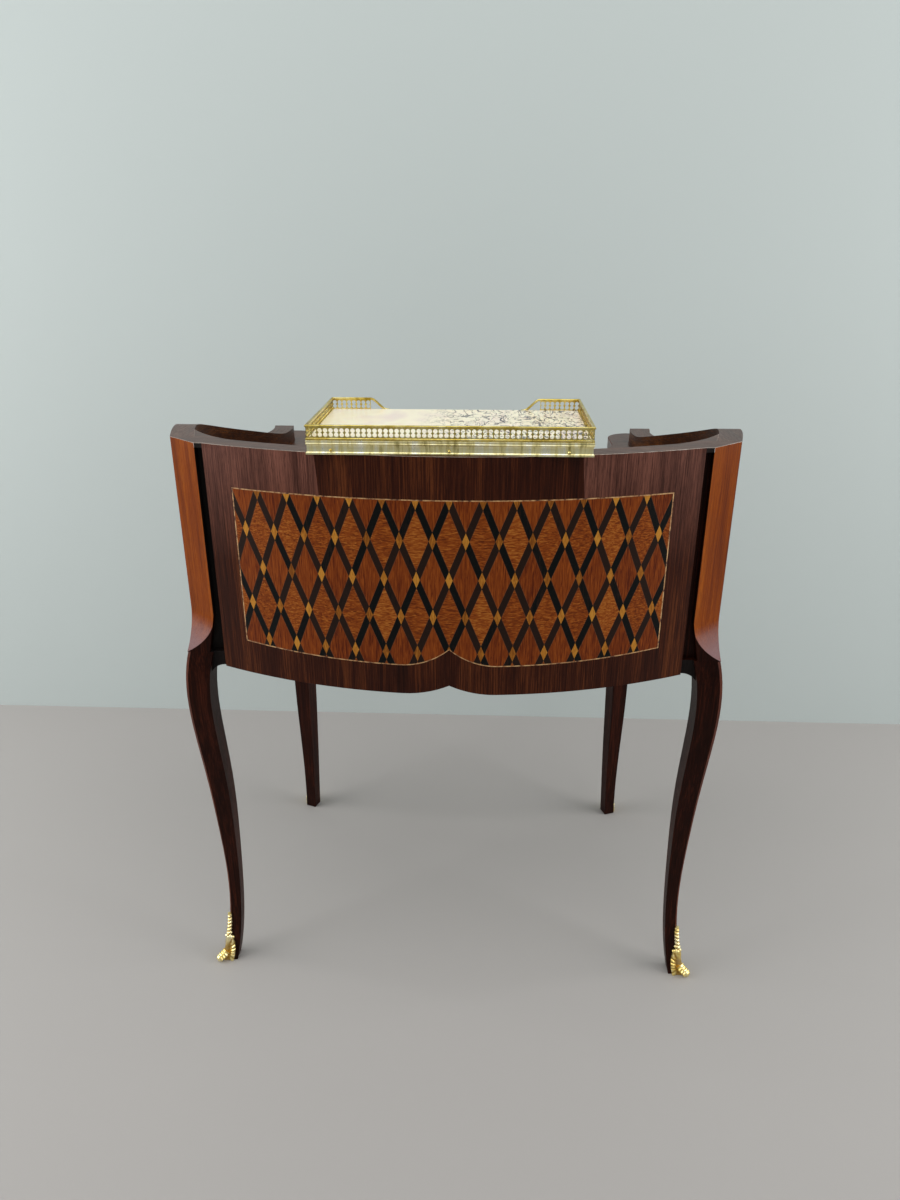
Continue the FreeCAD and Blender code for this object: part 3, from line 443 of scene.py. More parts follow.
def trellis_parquetry():
    material, tree, shader = new_material("trellis_parquetry_veneer")
    place = add(tree, "ShaderNodeTexCoord").outputs["Object"]
    axes = add(tree, "ShaderNodeSeparateXYZ", {"Vector": place}).outputs
    known = {"x": axes["X"], "z": axes["Z"]}
    for name, operation, first, second in trellis_sums():
        terms = {0: known.get(first, first), 1: known.get(second, second)}
        known[name] = add(tree, "ShaderNodeMath", terms, operation=operation)
    tone = {}
    for kind, (first, second, apart) in PIECES.items():
        number = add(tree, "ShaderNodeCombineXYZ", {0: known[first], 1: known[second], 2: apart})
        tone[kind] = add(tree, "ShaderNodeTexWhiteNoise", {"Vector": number}).outputs["Value"]
    tone["red"] = tone["gold"] = tone["diamond"]
    upper = {"Factor": known["falling_strip"], "A": tone["rising"], "B": tone["falling"]}
    tone["ebony"] = add(tree, "ShaderNodeMix", upper)
    grain, veneer = {}, {}
    for name, (axis, size_mm, spread, ramp) in VENEERS.items():
        laid = add(tree, "ShaderNodeMapping", {"Vector": place, "Scale": grain_scale(axis, size_mm)})
        noise = {"Vector": laid, "Scale": 1.0, "Detail": 4, "Distortion": 0.9}
        toned = {0: tone[name], 1: spread, 2: add(tree, "ShaderNodeTexNoise", noise)}
        grain[name] = add(tree, "ShaderNodeMath", toned, operation="MULTIPLY_ADD")
        veneer[name] = add(tree, "ShaderNodeValToRGB", {"Fac": grain[name]}, ramp)
    colour = veneer["red"]
    for where, laid_on in (("odd_row", veneer["gold"]), ("thin_glue", GLUE_COLOUR),
                           ("strip", veneer["ebony"]), ("crossing", veneer["lozenge"])):
        layer = {"Factor": known[where], "A": colour, "B": laid_on}
        colour = add(tree, "ShaderNodeMix", layer, data_type="RGBA")
    rough = add(tree, "ShaderNodeMapRange", {"Value": grain["gold"], "From Min": 0.4, "From Max": 0.85,
                                             "To Min": 0.5, "To Max": 0.34})
    sunk = {0: known["glue"], 1: GLUE_SUNK, 2: grain["gold"]}
    relief = add(tree, "ShaderNodeMath", sunk, operation="MULTIPLY_ADD")
    bump = add(tree, "ShaderNodeBump", {"Strength": 0.12, "Distance": 0.1 * MM, "Height": relief})
    feed(tree, shader, {"Base Color": colour, "Roughness": rough, "Normal": bump, "IOR": WOOD_IOR,
                        "Specular IOR Level": 0.1, "Coat Weight": 0.06, "Coat Roughness": 0.16})
    return material


parquetry = trellis_parquetry()
print("parquetry has", len(parquetry.node_tree.nodes), "nodes")

# %% [markdown]
# ## Boxwood and marble
# A pale boxwood line frames the field; it has lost a little here and there. The tray is a
# slab of cream marble, plain at one end, with broken violet grey veins in the rest. A noise
# that passes its middle value draws such wandering lines, and a second one breaks them up.

# %% Stringing and stone
WEAR_MM = (6, 6, 6)
BOXWOOD_TONES = [(0.36, "#4e2c18"), (0.62, "#caa06c"), (0.46, "#a5764a")]
VEIN_MM = (16, 30, 30)
# Scale of the noise, and half the width of a vein in it
VEIN_LAYERS = ((0.8, 0.027), (1.5, 0.023))
VEIN_CORE = 0.4
VEIN_BREAKS = 1.7
# Where the veins begin and are all there, in metres along the tray
VEINS_FROM, VEINS_FULL = 0.045, -0.02
VEIN_COLOUR = "#443d46"
MARBLE_TONES = [(0.3, "#f8eaca"), (0.7, "#eddccd"), (0.5, "#fcf1d4")]


def boxwood_line():
    material, tree, shader = new_material("worn_boxwood_line")
    place = add(tree, "ShaderNodeTexCoord").outputs["Object"]
    laid = add(tree, "ShaderNodeMapping", {"Vector": place, "Scale": scale_of(WEAR_MM)})
    wear = add(tree, "ShaderNodeTexNoise", {"Vector": laid, "Scale": 1.0, "Detail": 4})
    colour = add(tree, "ShaderNodeValToRGB", {"Fac": wear}, BOXWOOD_TONES)
    bump = add(tree, "ShaderNodeBump", {"Strength": 0.15, "Distance": 0.1 * MM, "Height": wear})
    feed(tree, shader, {"Base Color": colour, "Roughness": 0.42, "Normal": bump, "Coat Weight": 0.2})
    return material


def vein_layer(tree, laid, scale, thin):
    noise = {"Vector": laid, "Scale": scale, "Detail": 3, "Distortion": 0.8}
    swirl = add(tree, "ShaderNodeTexNoise", noise)
    middle = add(tree, "ShaderNodeMath", {0: swirl, 1: 0.5}, operation="SUBTRACT")
    away = add(tree, "ShaderNodeMath", {0: middle}, operation="ABSOLUTE")
    edge = {"Value": away, "From Min": thin, "From Max": thin * VEIN_CORE}
    line = add(tree, "ShaderNodeMapRange", edge)
    broken = add(tree, "ShaderNodeTexNoise", {"Vector": laid, "Scale": scale * VEIN_BREAKS, "Detail": 2})
    kept = add(tree, "ShaderNodeMapRange", {"Value": broken, "From Min": 0.37, "From Max": 0.47})
    return add(tree, "ShaderNodeMath", {0: line, 1: kept}, operation="MULTIPLY")


def veined_marble():
    material, tree, shader = new_material("violet_veined_marble_polished")
    place = add(tree, "ShaderNodeTexCoord").outputs["Object"]
    length = add(tree, "ShaderNodeSeparateXYZ", {"Vector": place}).outputs["X"]
    laid = add(tree, "ShaderNodeMapping", {"Vector": place, "Scale": scale_of(VEIN_MM)})
    cloud = add(tree, "ShaderNodeTexNoise", {"Vector": laid, "Scale": 0.35, "Detail": 3})
    veined = {"Value": length, "From Min": VEINS_FROM, "From Max": VEINS_FULL}
    reach = add(tree, "ShaderNodeMapRange", veined)
    veins = 0.0
    for scale, thin in VEIN_LAYERS:
        drawn = vein_layer(tree, laid, scale, thin)
        veins = add(tree, "ShaderNodeMath", {0: drawn, 1: veins}, operation="MAXIMUM")
    shown = add(tree, "ShaderNodeMath", {0: veins, 1: reach}, operation="MULTIPLY")
    ground = add(tree, "ShaderNodeValToRGB", {"Fac": cloud}, MARBLE_TONES)
    stained = {"Factor": shown, "A": ground, "B": VEIN_COLOUR}
    colour = add(tree, "ShaderNodeMix", stained, data_type="RGBA")
    rough = add(tree, "ShaderNodeMapRange", {"Value": cloud, "To Min": 0.16, "To Max": 0.3})
    bump = add(tree, "ShaderNodeBump", {"Strength": 0.05, "Distance": 0.05 * MM, "Height": cloud})
    feed(tree, shader, {"Base Color": colour, "Roughness": rough, "Normal": bump, "IOR": 1.49,
                        "Subsurface Weight": 0.06, "Subsurface Scale": 0.004})
    return material


boxwood = boxwood_line()
marble = veined_marble()
print("line and stone:", boxwood.name, marble.name)

# %% [markdown]
# ## Brass and gilt bronze
# The tray's edge and gallery are brass, and the shoes on the feet are gilt bronze, cast,
# chased and burnished. A metal's colour is the colour of its reflection, so these have
# little pattern: a slow change of tone, and roughness that follows handling and old
# polish. The band has slight upright ripples. On the shoes an attribute tells the material
# which hollows get a painted shade of deeper gold.

# %% Metals
BRASS_WAVE_MM = (7, 7, 7)
BRASS_SMEAR_MM = (18, 18, 18)
BAND_WAVE_MM = (6, 6, 60)
BAND_SMEAR_MM = (7, 7, 60)
CHASING_MM = (1.2, 1.2, 1.2)
DEEP_AT, CLEAN_AT, BRIGHT_AT = 0.3, 0.46, 0.68
# Name of the attribute that carries the painted shade in the shoes' hollows
SHADE_ATTRIBUTE = "hollow"


def worked_metal(name, deep, clean, bright, wave_mm, smear_mm, smooth, rough, bump_mm, hollow=None):
    material, tree, shader = new_material(name)
    place = add(tree, "ShaderNodeTexCoord").outputs["Object"]
    fine = add(tree, "ShaderNodeMapping", {"Vector": place, "Scale": scale_of(wave_mm)})
    wide = add(tree, "ShaderNodeMapping", {"Vector": place, "Scale": scale_of(smear_mm)})
    wave = add(tree, "ShaderNodeTexNoise", {"Vector": fine, "Scale": 1.0, "Detail": 2})
    smear = add(tree, "ShaderNodeTexNoise", {"Vector": wide, "Scale": 1.0, "Detail": 5, "Roughness": 0.65})
    tones = [(DEEP_AT, deep), (BRIGHT_AT, bright), (CLEAN_AT, clean)]
    colour = add(tree, "ShaderNodeValToRGB", {"Fac": smear}, tones)
    # A painted shade of deeper gold in the shoes' hollows
    if hollow:
        sunk = add(tree, "ShaderNodeAttribute", attribute_name=SHADE_ATTRIBUTE).outputs["Fac"]
        colour = add(tree, "ShaderNodeMix", {"Factor": sunk, "A": colour, "B": hollow}, data_type="RGBA")
    gloss = add(tree, "ShaderNodeMapRange", {"Value": smear, "From Min": 0.3, "From Max": 0.7,
                                             "To Min": rough, "To Max": smooth})
    bump = add(tree, "ShaderNodeBump", {"Strength": 0.8, "Distance": bump_mm * MM, "Height": wave})
    feed(tree, shader, {"Base Color": colour, "Metallic": 1.0, "Roughness": gloss, "Normal": bump})
    return material


brass = worked_metal("polished_brass", "#9c8230", "#dcc468", "#f4e6a6", BRASS_WAVE_MM, BRASS_SMEAR_MM,
                     smooth=0.14, rough=0.3, bump_mm=0.05)
rubbed_brass = worked_metal("rubbed_brass_band", "#a2965e", "#f2e6a8", "#fffce4", BAND_WAVE_MM,
                            BAND_SMEAR_MM, smooth=0.25, rough=0.5, bump_mm=0.5)
gilt_bronze = worked_metal("burnished_gilt_bronze", "#c8a84e", "#f2da88", "#fff6cc", CHASING_MM,
                           BRASS_SMEAR_MM, smooth=0.26, rough=0.55, bump_mm=0.08, hollow="#a47420")
print("metals:", brass.name, rubbed_brass.name, gilt_bronze.name)

# %% [markdown]
# ## Boards with softened edges
# A construction model has knife-sharp edges, and no board leaves the workshop like that:
# the maker takes the arris off with a plane, and years of polish round it further. So
# each board is copied, its loose triangles are welded, and every sharp edge is bevelled.
# The bevel gets its own material where hands have rubbed it to paler wood; on the rim it also
# carries a painted white glint along the arris. Edges in a glued joint stay sharp, because the
# joint was planed flush.

# %% Copy a board and soften its edges
WELD = 0.002 * MM
FLAT_ANGLE = math.radians(0.4)
SHARP_ANGLE = math.radians(28)
SMOOTH_ANGLE = math.radians(38)
BEVEL_STEPS = 2
BEVEL_ROUND = 0.6


def settle(piece, replaced):
    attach(piece, nodes[replaced[0]]["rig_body"])
    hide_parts(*replaced)
    return piece


def as_mesh(name, bm):
    mesh = bpy.data.meshes.new(name)
    bm.to_mesh(mesh)
    bm.free()
    return mesh


def as_piece(name, bm, materials):
    mesh = as_mesh(name, bm)
    for material in materials:
        mesh.materials.append(material)
    mesh.shade_smooth()
    mesh.set_sharp_from_angle(angle=SMOOTH_ANGLE)
    return linked(name, mesh)


def softened(node, materials, edge_mm=0.7, bevel_wood=None, choose=None, flush_z=None):
    bm = bmesh.new()
    bm.from_mesh(nodes[node].data)
    bmesh.ops.remove_doubles(bm, verts=bm.verts, dist=WELD)
    bmesh.ops.dissolve_limit(bm, angle_limit=FLAT_ANGLE, verts=bm.verts, edges=bm.edges)
    for face in bm.faces:
        face.material_index = choose(face) if choose else 0
    edges = [e for e in bm.edges if e.is_manifold and e.calc_face_angle() > SHARP_ANGLE]
    if flush_z is not None:
        edges = [e for e in edges if max(abs(v.co.z - flush_z) for v in e.verts) > WELD]
    finish = len(materials) if bevel_wood else -1
    bmesh.ops.bevel(bm, geom=edges, offset=edge_mm * MM, segments=BEVEL_STEPS, profile=BEVEL_ROUND,
                    affect="EDGES", clamp_overlap=True, material=finish)
    piece = as_piece(node + "_polished", bm, list(materials) + ([bevel_wood] if bevel_wood else []))
    weighted = piece.modifiers.new("flat faces stay flat", "WEIGHTED_NORMAL")
    weighted.keep_sharp = True
    return settle(piece, [node])


print("edges sharper than", round(math.degrees(SHARP_ANGLE)), "degrees are softened")

# %% [markdown]
# ## Which wood a face gets
# A maker veneers a board face by face, and so do we: each face is asked which way it looks
# and where it lies. On a rear post the canted corner is a light wood down to the knee, a
# narrow chamfer runs on down the leg, and the groove beside the back gets a painted shade: on
# the right post all the way, on the left only at the knee, and over both on the rim. The rim,
# the wings and the back show one wood to the room and another to the sitter.

# %% Choose a wood for a face
SIDES = ("left", "right")
# Places in a leg's list of woods, and in the rim's
POST, CANT, GROOVE_SHADE, CHAMFER = range(4)
RIM_TOP, RIM_VENEER, RIM_CANT, RIM_GROOVE_SHADE = range(4)
# The least share of a face's normal that counts as looking some way
LOOKS = 0.5
LOOKS_INWARDS = 0.2
LOOKS_LEVEL = 0.3
LOOKS_INTO_GROOVE = 0.7
LOOKS_OVER_CORNER = 0.86
CAPPING_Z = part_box("back_capping")[0].z
TABLE_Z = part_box("table_top")[0].z
BACK_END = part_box("parquetry_field")[1].x + 38 * MM
POST_REAR = 0.1927
GROOVE_DEEP = 3 * MM
GROOVE_WIDE = 22 * MM
GROOVE_REACH = 18 * MM
RIM_SHADE_WIDE = 10 * MM
KNEE_Z = 0.55
KNEE_DROP = 40 * MM


def leg_faces(side, end):
    corner = Vector((1 if side == "right" else -1, end)).normalized()

    def choose(face):
        level = face.normal.xy
        middle = face.calc_center_median()
        beside_back = BACK_END < abs(middle.x) < BACK_END + GROOVE_WIDE
        if end > 0 and beside_back and middle.z > KNEE_Z - KNEE_DROP:
            # Painted shade on the groove's floor: on the right post, and on the left only at the knee
            if middle.y < POST_REAR - GROOVE_DEEP and max(face.normal.y, face.normal.z) > LOOKS:
                return GROOVE_SHADE if side == "right" or middle.z < KNEE_Z else POST
            # Painted shade on the groove's inner wall, on the right post only
            if face.normal.x * corner.x < -LOOKS_INTO_GROOVE and middle.y > POST_REAR - GROOVE_REACH:
                return GROOVE_SHADE if side == "right" else POST
        if level.length < LOOKS_LEVEL or level.normalized().dot(corner) < LOOKS_OVER_CORNER:
            return POST
        return CANT if middle.z > KNEE_Z else CHAMFER
    return choose


def sitter_side(face):
    return int(face.normal.y < -LOOKS)


def rim_faces(face):
    if abs(face.normal.z) > LOOKS or sitter_side(face):
        return RIM_TOP
    # The rim over the groove gets the same painted shade
    if 0 < abs(face.calc_center_median().x) - BACK_END < RIM_SHADE_WIDE:
        return RIM_GROOVE_SHADE
    return RIM_CANT if face.normal.y > LOOKS and abs(face.normal.x) > LOOKS else RIM_VENEER


def right_half(face):
    return int(face.calc_center_median().x > 0)


def on_edge(face):
    return int(abs(face.normal.z) < LOOKS)


def wing_sides(side):
    inwards = -1 if side == "right" else 1

    def choose(face):
        inner = face.normal.x * inwards
        above = face.calc_center_median().z > TABLE_Z
        at_end = sitter_side(face) and inner > -LOOKS_INWARDS and above
        return int(inner > LOOKS_INWARDS or at_end)
    return choose


print("canted wood above", round(KNEE_Z / MM), "mm, inner wing above", round(TABLE_Z / MM), "mm")

# %% [markdown]
# ## The carcass
# Back, side panels and posts have upright grain; the rim and the table have grain along
# their length; a block rounds each inner corner. The widest bevels go where hands meet the
# wood, at the table and the rim, and the boards that nobody sees are oak.

# %% Dress the carcass
leg_woods = [post_wood, cant_wood, groove_shade_wood, edge_wood]
softened("back_panel", [back_veneer, post_wood], 0.8, choose=sitter_side, flush_z=CAPPING_Z)
for side in SIDES:
    softened("rear_leg_" + side, leg_woods, 0.7, choose=leg_faces(side, 1), flush_z=CAPPING_Z)
    softened("front_leg_" + side, leg_woods, 0.7, choose=leg_faces(side, -1))
    softened("side_panel_" + side, [post_wood, wing_inner], 0.8, choose=wing_sides(side))
    softened("wing_capping_" + side, [wing_wood, wing_inner], 0.9, choose=on_edge)
    softened("frieze_stile_" + side, [post_wood], 0.5)
    softened("lobe_return_" + side, [post_wood], 0.5)
    softened("gradin_end_" + side, [post_wood], 0.6)
softened("corner_blocks", [corner_woods[side] for side in SIDES], 0.05, choose=right_half)
rim_woods = [top_wood, back_veneer, cant_wood, groove_shade_wood]
softened("back_capping", rim_woods, 1.0, wear_and_glint_edge, choose=rim_faces, flush_z=CAPPING_Z)
softened("table_top", [top_wood], 1.6, edge_wood)
for rail in ("frieze_upper_rail", "frieze_lower_rail"):
    softened(rail, [post_wood], 0.5)
softened("gradin_top", [top_wood], 0.6)
softened("gradin_divider", [post_wood], 0.5)
for hidden in ("dust_board", "drawer_guides", "drawer_kickers", "drawer_stops", "glue_blocks"):
    softened(hidden, [oak], 0.6)
softened("parquetry_field", [parquetry], 0.05)
softened("parquetry_stringing", [boxwood], 0.05)
softened("marble_top", [marble], 1.0)

# %% [markdown]
# ## The drawers
# One wide drawer slides in the frieze, and two small ones in the box under the tray. Only
# the fronts are veneered; sides, backs and bottoms are waxed oak, as drawer linings are.
# The knobs are turned brass.

# %% Dress the drawers
softened("frieze_drawer_front", [post_wood], 0.6)
for lining in ("side_left", "side_right", "back", "bottom"):
    softened("frieze_drawer_" + lining, [oak], 0.5)
softened("frieze_drawer_knobs", [brass], 0.3)
for side in SIDES:
    softened("gradin_drawer_front_" + side, [post_wood], 0.5)
    for lining in ("sides", "back", "bottom"):
        softened("gradin_drawer_" + lining + "_" + side, [oak], 0.4)
    softened("gradin_drawer_knob_" + side, [brass], 0.3)

# %% [markdown]
# ## The brass band
# A moulded strip of brass is nailed round the edge of the marble. A moulding is one
# profile carried along a path, so a small sweep does it: at every point of the path the
# profile is set across the way, and at a corner it is stretched along the mitre, exactly
# as a saw would cut it.

# %% Sweep a moulding along a path
BAND_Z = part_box("band_rear")[0].z
BAND_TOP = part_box("band_rear")[1].z
GALLERY_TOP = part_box("gallery_rear")[1].z
UP = Vector((0, 0, 1))
MITRE_LEAST = 0.3
BAND_PROFILE_MM = [
    (-3.4, 0), (-0.2, 0), (0, 0.3), (0, 1.9), (-0.3, 2.4), (-0.9, 2.8), (-1.2, 3.6),
    (-1.3, 7.2), (-1.2, 10.6), (-0.9, 11.4), (-0.4, 11.8), (-0.1, 12.3), (-0.1, 13.1),
    (-0.5, 13.6), (-0.5, 14.1), (-0.1, 14.5), (0, 15.1), (0, 15.9), (-0.4, 16.5), (-3.4, 16.5)]


def swept(bm, path, profile_mm, closed=False, level=None):
    rings = []
    count = len(path)
    profiles = profile_mm if isinstance(profile_mm[0], list) else [profile_mm] * count
    for i, point in enumerate(path):
        before = path[i - 1] if closed or i else None
        after = path[(i + 1) % count] if closed or i < count - 1 else None
        arrives = (point - before).normalized() if before else (after - point).normalized()
        leaves = (after - point).normalized() if after else arrives
        across = [level or way.cross(UP).normalized() for way in (arrives, leaves)]
        mitre = (across[0] + across[1]).normalized()
        mitre /= max(mitre.dot(across[0]), MITRE_LEAST)
        rise = mitre.normalized().cross((arrives + leaves).normalized()).normalized()
        rings.append([bm.verts.new(point + (mitre * a + rise * b) * MM) for a, b in profiles[i]])
    size = len(profiles[0])
    for i in range(count if closed else count - 1):
        one, two = rings[i], rings[(i + 1) % count]
        for k in range(size):
            bm.faces.new((one[k], one[(k + 1) % size], two[(k + 1) % size], two[k]))
    if not closed:
        bm.faces.new(rings[0][::-1])
        bm.faces.new(rings[-1])


def outwards(bm):
    bmesh.ops.recalc_face_normals(bm, faces=bm.faces)
    return bm


left_x, right_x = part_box("band_left")[0].x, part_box("band_right")[1].x
front_y, rear_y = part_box("band_front")[0].y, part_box("band_rear")[1].y
band_plan = [(left_x, front_y), (right_x, front_y), (right_x, rear_y), (left_x, rear_y)]
bm = bmesh.new()
swept(bm, [Vector((x, y, BAND_Z)) for x, y in band_plan], BAND_PROFILE_MM, closed=True)
band = as_piece("moulded_band", outwards(bm), [rubbed_brass])
settle(band, ["band_rear", "band_front", "band_left", "band_right"])
print("band", round((right_x - left_x) / MM), "by", round((rear_y - front_y) / MM), "mm")

# %% [markdown]
# ## Rows made by Geometry Nodes
# The gallery is a strip of brass with a row of figure-of-eight holes, and the band is held
# by a row of pins. What repeats is best left to Geometry Nodes: one small tree sets a
# cell along a line, makes the copies real, welds them and gives them their metal. Its
# inputs are named, so the same tree serves every side.

# %% A tree that repeats a cell along a line
ROW_WELD = WELD * 5


def row_tree():
    tree = bpy.data.node_groups.new("cells_in_a_row", "GeometryNodeTree")
    for name, kind in (("Cell", "Object"), ("Count", "Int"), ("Start", "Vector"), ("Step", "Vector"),
                       ("Turn", "Vector"), ("Weld", "Float"), ("Metal", "Material")):
        tree.interface.new_socket(name, in_out="INPUT", socket_type="NodeSocket" + kind)
    tree.interface.new_socket("Geometry", in_out="OUTPUT", socket_type="NodeSocketGeometry")
    given = add(tree, "NodeGroupInput").outputs
    line = add(tree, "GeometryNodeMeshLine", {"Count": given["Count"], "Start Location": given["Start"],
                                              "Offset": given["Step"]})
    cell = add(tree, "GeometryNodeObjectInfo", {"Object": given["Cell"]}).outputs["Geometry"]
    turn = add(tree, "FunctionNodeEulerToRotation", {"Euler": given["Turn"]})
    copies = add(tree, "GeometryNodeInstanceOnPoints", {"Points": line, "Instance": cell, "Rotation": turn})
    welded = add(tree, "GeometryNodeRealizeInstances", {"Geometry": copies})
    joined = add(tree, "GeometryNodeMergeByDistance", {"Geometry": welded, "Distance": given["Weld"]})
    metal = add(tree, "GeometryNodeSetMaterial", {"Geometry": joined, "Material": given["Metal"]})
    add(tree, "NodeGroupOutput", {"Geometry": metal})
    return tree


ROW = row_tree()


def add_row(bm, cell, count, start, step, turn=0.0):
    carrier = linked("row", bpy.data.meshes.new("row"))
    modifier = carrier.modifiers.new("row", "NODES")
    modifier.node_group = ROW
    values = {"Cell": cell, "Count": count, "Start": start, "Step": step, "Turn": (0, 0, turn),
              "Weld": ROW_WELD, "Metal": brass}
    for item in ROW.interface.items_tree:
        if item.in_out == "INPUT":
            modifier[item.identifier] = values[item.name]
    seen = carrier.evaluated_get(bpy.context.evaluated_depsgraph_get())
    bm.from_mesh(bpy.data.meshes.new_from_object(seen))
    bpy.data.objects.remove(carrier)


print("row tree has", len(ROW.nodes), "nodes")

# %% [markdown]
# ## One tile of the gallery
# Each cell of the strip is a small brass tile with a figure-of-eight hole: two circles
# that overlap at the waist, as a punch leaves them. Its rim is found in polar form, so hole
# and tile have a point at the same angles and plain quads join them.

# %% A pierced tile and a round rail
STRIP_THICK_MM = 1.3
HOLE_RADIUS_MM = 2.7
HOLE_SPREAD_MM = 2.55
RIM_STEPS = 40
TINY = 1e-6


def pierced_tile(pitch_mm, height_mm):
    bm = bmesh.new()
    corner = math.atan2(height_mm, pitch_mm)
    angles = [corner, math.pi - corner, math.pi + corner, 2 * math.pi - corner]
    angles = sorted(angles + [2 * math.pi * (i + 0.5) / RIM_STEPS for i in range(RIM_STEPS)])
    layers = []
    for depth in (-STRIP_THICK_MM / 2, STRIP_THICK_MM / 2):
        hole, edge = [], []
        for angle in angles:
            c, s = math.cos(angle), math.sin(angle)
            reach = math.sqrt(HOLE_RADIUS_MM ** 2 - (HOLE_SPREAD_MM * c) ** 2) + HOLE_SPREAD_MM * abs(s)
            side = min(pitch_mm / 2 / max(abs(c), TINY), height_mm / 2 / max(abs(s), TINY))
            hole.append(bm.verts.new(Vector((reach * c, depth, reach * s)) * MM))
            edge.append(bm.verts.new(Vector((side * c, depth, side * s)) * MM))
        layers.append((hole, edge))
    (hole_a, edge_a), (hole_b, edge_b) = layers
    for i in range(len(angles)):
        j = (i + 1) % len(angles)
        bm.faces.new((hole_a[j], hole_a[i], edge_a[i], edge_a[j]))
        bm.faces.new((hole_b[i], hole_b[j], edge_b[j], edge_b[i]))
        bm.faces.new((hole_a[i], hole_a[j], hole_b[j], hole_b[i]))
    return linked("pierced_tile", as_mesh("pierced_tile", bm))


def round_rail(width_mm, height_mm, steps=12):
    turn = 2 * math.pi / steps
    return [(width_mm / 2 * math.cos(i * turn), height_mm / 2 * math.sin(i * turn)) for i in range(steps)]


print("hole", 2 * (HOLE_RADIUS_MM + HOLE_SPREAD_MM), "by", 2 * HOLE_RADIUS_MM, "mm")

# %% [markdown]
# ## The pierced gallery
# The strip stands on three sides of the tray and returns a little at the front. Rounded
# rails run along its top and its foot. At the front the top rail sweeps down to the foot
# in an S and ends in a small scroll. The rails are swept like the band, and the row tree
# lays the tiles between them.

# %% Set out strips, rails and scrolls
TILE_PITCH_MM = 6.4
STRIP_BACK_MM = 1.0
RAIL_MM = 3.2
TOP_RAIL_WIDER_MM = 0.2
FOOT_RAIL_SLIMMER_MM = 0.4
SWEEP_MM = 23.0
SWEEP_STEPS = 12
SWEEP_END_MM = 0.6
SCROLL_MM = [(1.6, 0.5), (3.0, 1.3)]

inset = (STRIP_THICK_MM / 2 + STRIP_BACK_MM) * MM
side_x, strip_front, strip_rear = right_x - inset, front_y + inset, rear_y - inset
return_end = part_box("gallery_return_right")[0].x
straight_end = return_end + SWEEP_MM * MM
foot_z, top_z = BAND_TOP + RAIL_MM / 2 * MM, GALLERY_TOP - RAIL_MM / 2 * MM
middle_z = (foot_z + top_z) / 2
tile_height = (top_z - foot_z) / MM

bm = bmesh.new()
runs = [(Vector((-side_x, strip_rear, middle_z)), Vector((side_x, strip_rear, middle_z)))]
for sign in (-1, 1):
    corner = Vector((sign * side_x, strip_front, middle_z))
    runs.append((corner, Vector((sign * side_x, strip_rear, middle_z))))
    runs.append((corner, Vector((sign * straight_end, strip_front, middle_z))))
for start, end in runs:
    way = end - start
    count = round(way.length / (TILE_PITCH_MM * MM))
    step = way / count
    tile = pierced_tile(step.length / MM, tile_height)
    add_row(bm, tile, count, start + step / 2, step, math.atan2(way.y, way.x))
    bpy.data.objects.remove(tile)

sweep = []
for i in range(SWEEP_STEPS + 1):
    t = i / SWEEP_STEPS
    drop = t * t * (3 - 2 * t)
    sweep.append((straight_end + (return_end - straight_end) * t,
                  top_z + (foot_z + SWEEP_END_MM * MM - top_z) * drop))
sweep += [(return_end - out * MM, foot_z + up * MM) for out, up in SCROLL_MM]
swing = [Vector((x, strip_front, z)) for x, z in sweep]
mirrored = [Vector((-p.x, p.y, p.z)) for p in reversed(swing)]
plan = [(-side_x, strip_front), (-side_x, strip_rear), (side_x, strip_rear), (side_x, strip_front)]
top_path = mirrored + [Vector((x, y, top_z)) for x, y in plan] + swing
swept(bm, top_path, round_rail(RAIL_MM + TOP_RAIL_WIDER_MM, RAIL_MM))
foot_plan = [(-return_end, strip_front)] + plan + [(return_end, strip_front)]
foot_path = [Vector((x, y, foot_z)) for x, y in foot_plan]
swept(bm, foot_path, round_rail(RAIL_MM - FOOT_RAIL_SLIMMER_MM, RAIL_MM))
gallery = as_piece("pierced_gallery", outwards(bm), [brass])
strips = ["rear", "left", "right", "return_left", "return_right"]
settle(gallery, ["gallery_" + strip for strip in strips])
print("gallery has", len(gallery.data.polygons), "faces")

# %% [markdown]
# ## Pins in the band
# Small round-headed brass pins hold the band. The construction already says where each pin
# sits: its points lie close together, so we gather them and set a round head in their middle.

# %% Pin heads
PIN_HEAD_MM = 1.5
PINS_APART_MM = 6.0


def pin_places(node):
    pins = []
    for vertex in nodes[node].data.vertices:
        near = [pin for pin in pins if (pin[0] - vertex.co).length < PINS_APART_MM * MM]
        if not near:
            pins.append([])
        (near[0] if near else pins[-1]).append(vertex.co)
    return [(Vector(map(min, zip(*pin))) + Vector(map(max, zip(*pin)))) / 2 for pin in pins]


bm = bmesh.new()
bmesh.ops.create_uvsphere(bm, u_segments=12, v_segments=8, radius=PIN_HEAD_MM * MM)
head = linked("pin_head", as_mesh("pin_head", bm))
places = pin_places("band_pins")
bm = bmesh.new()
for place in places:
    add_row(bm, head, 1, place, (0, 0, 0))
bpy.data.objects.remove(head)
pins = as_piece("round_headed_pins", outwards(bm), [brass])
settle(pins, ["band_pins"])
print("pins:", len(places))
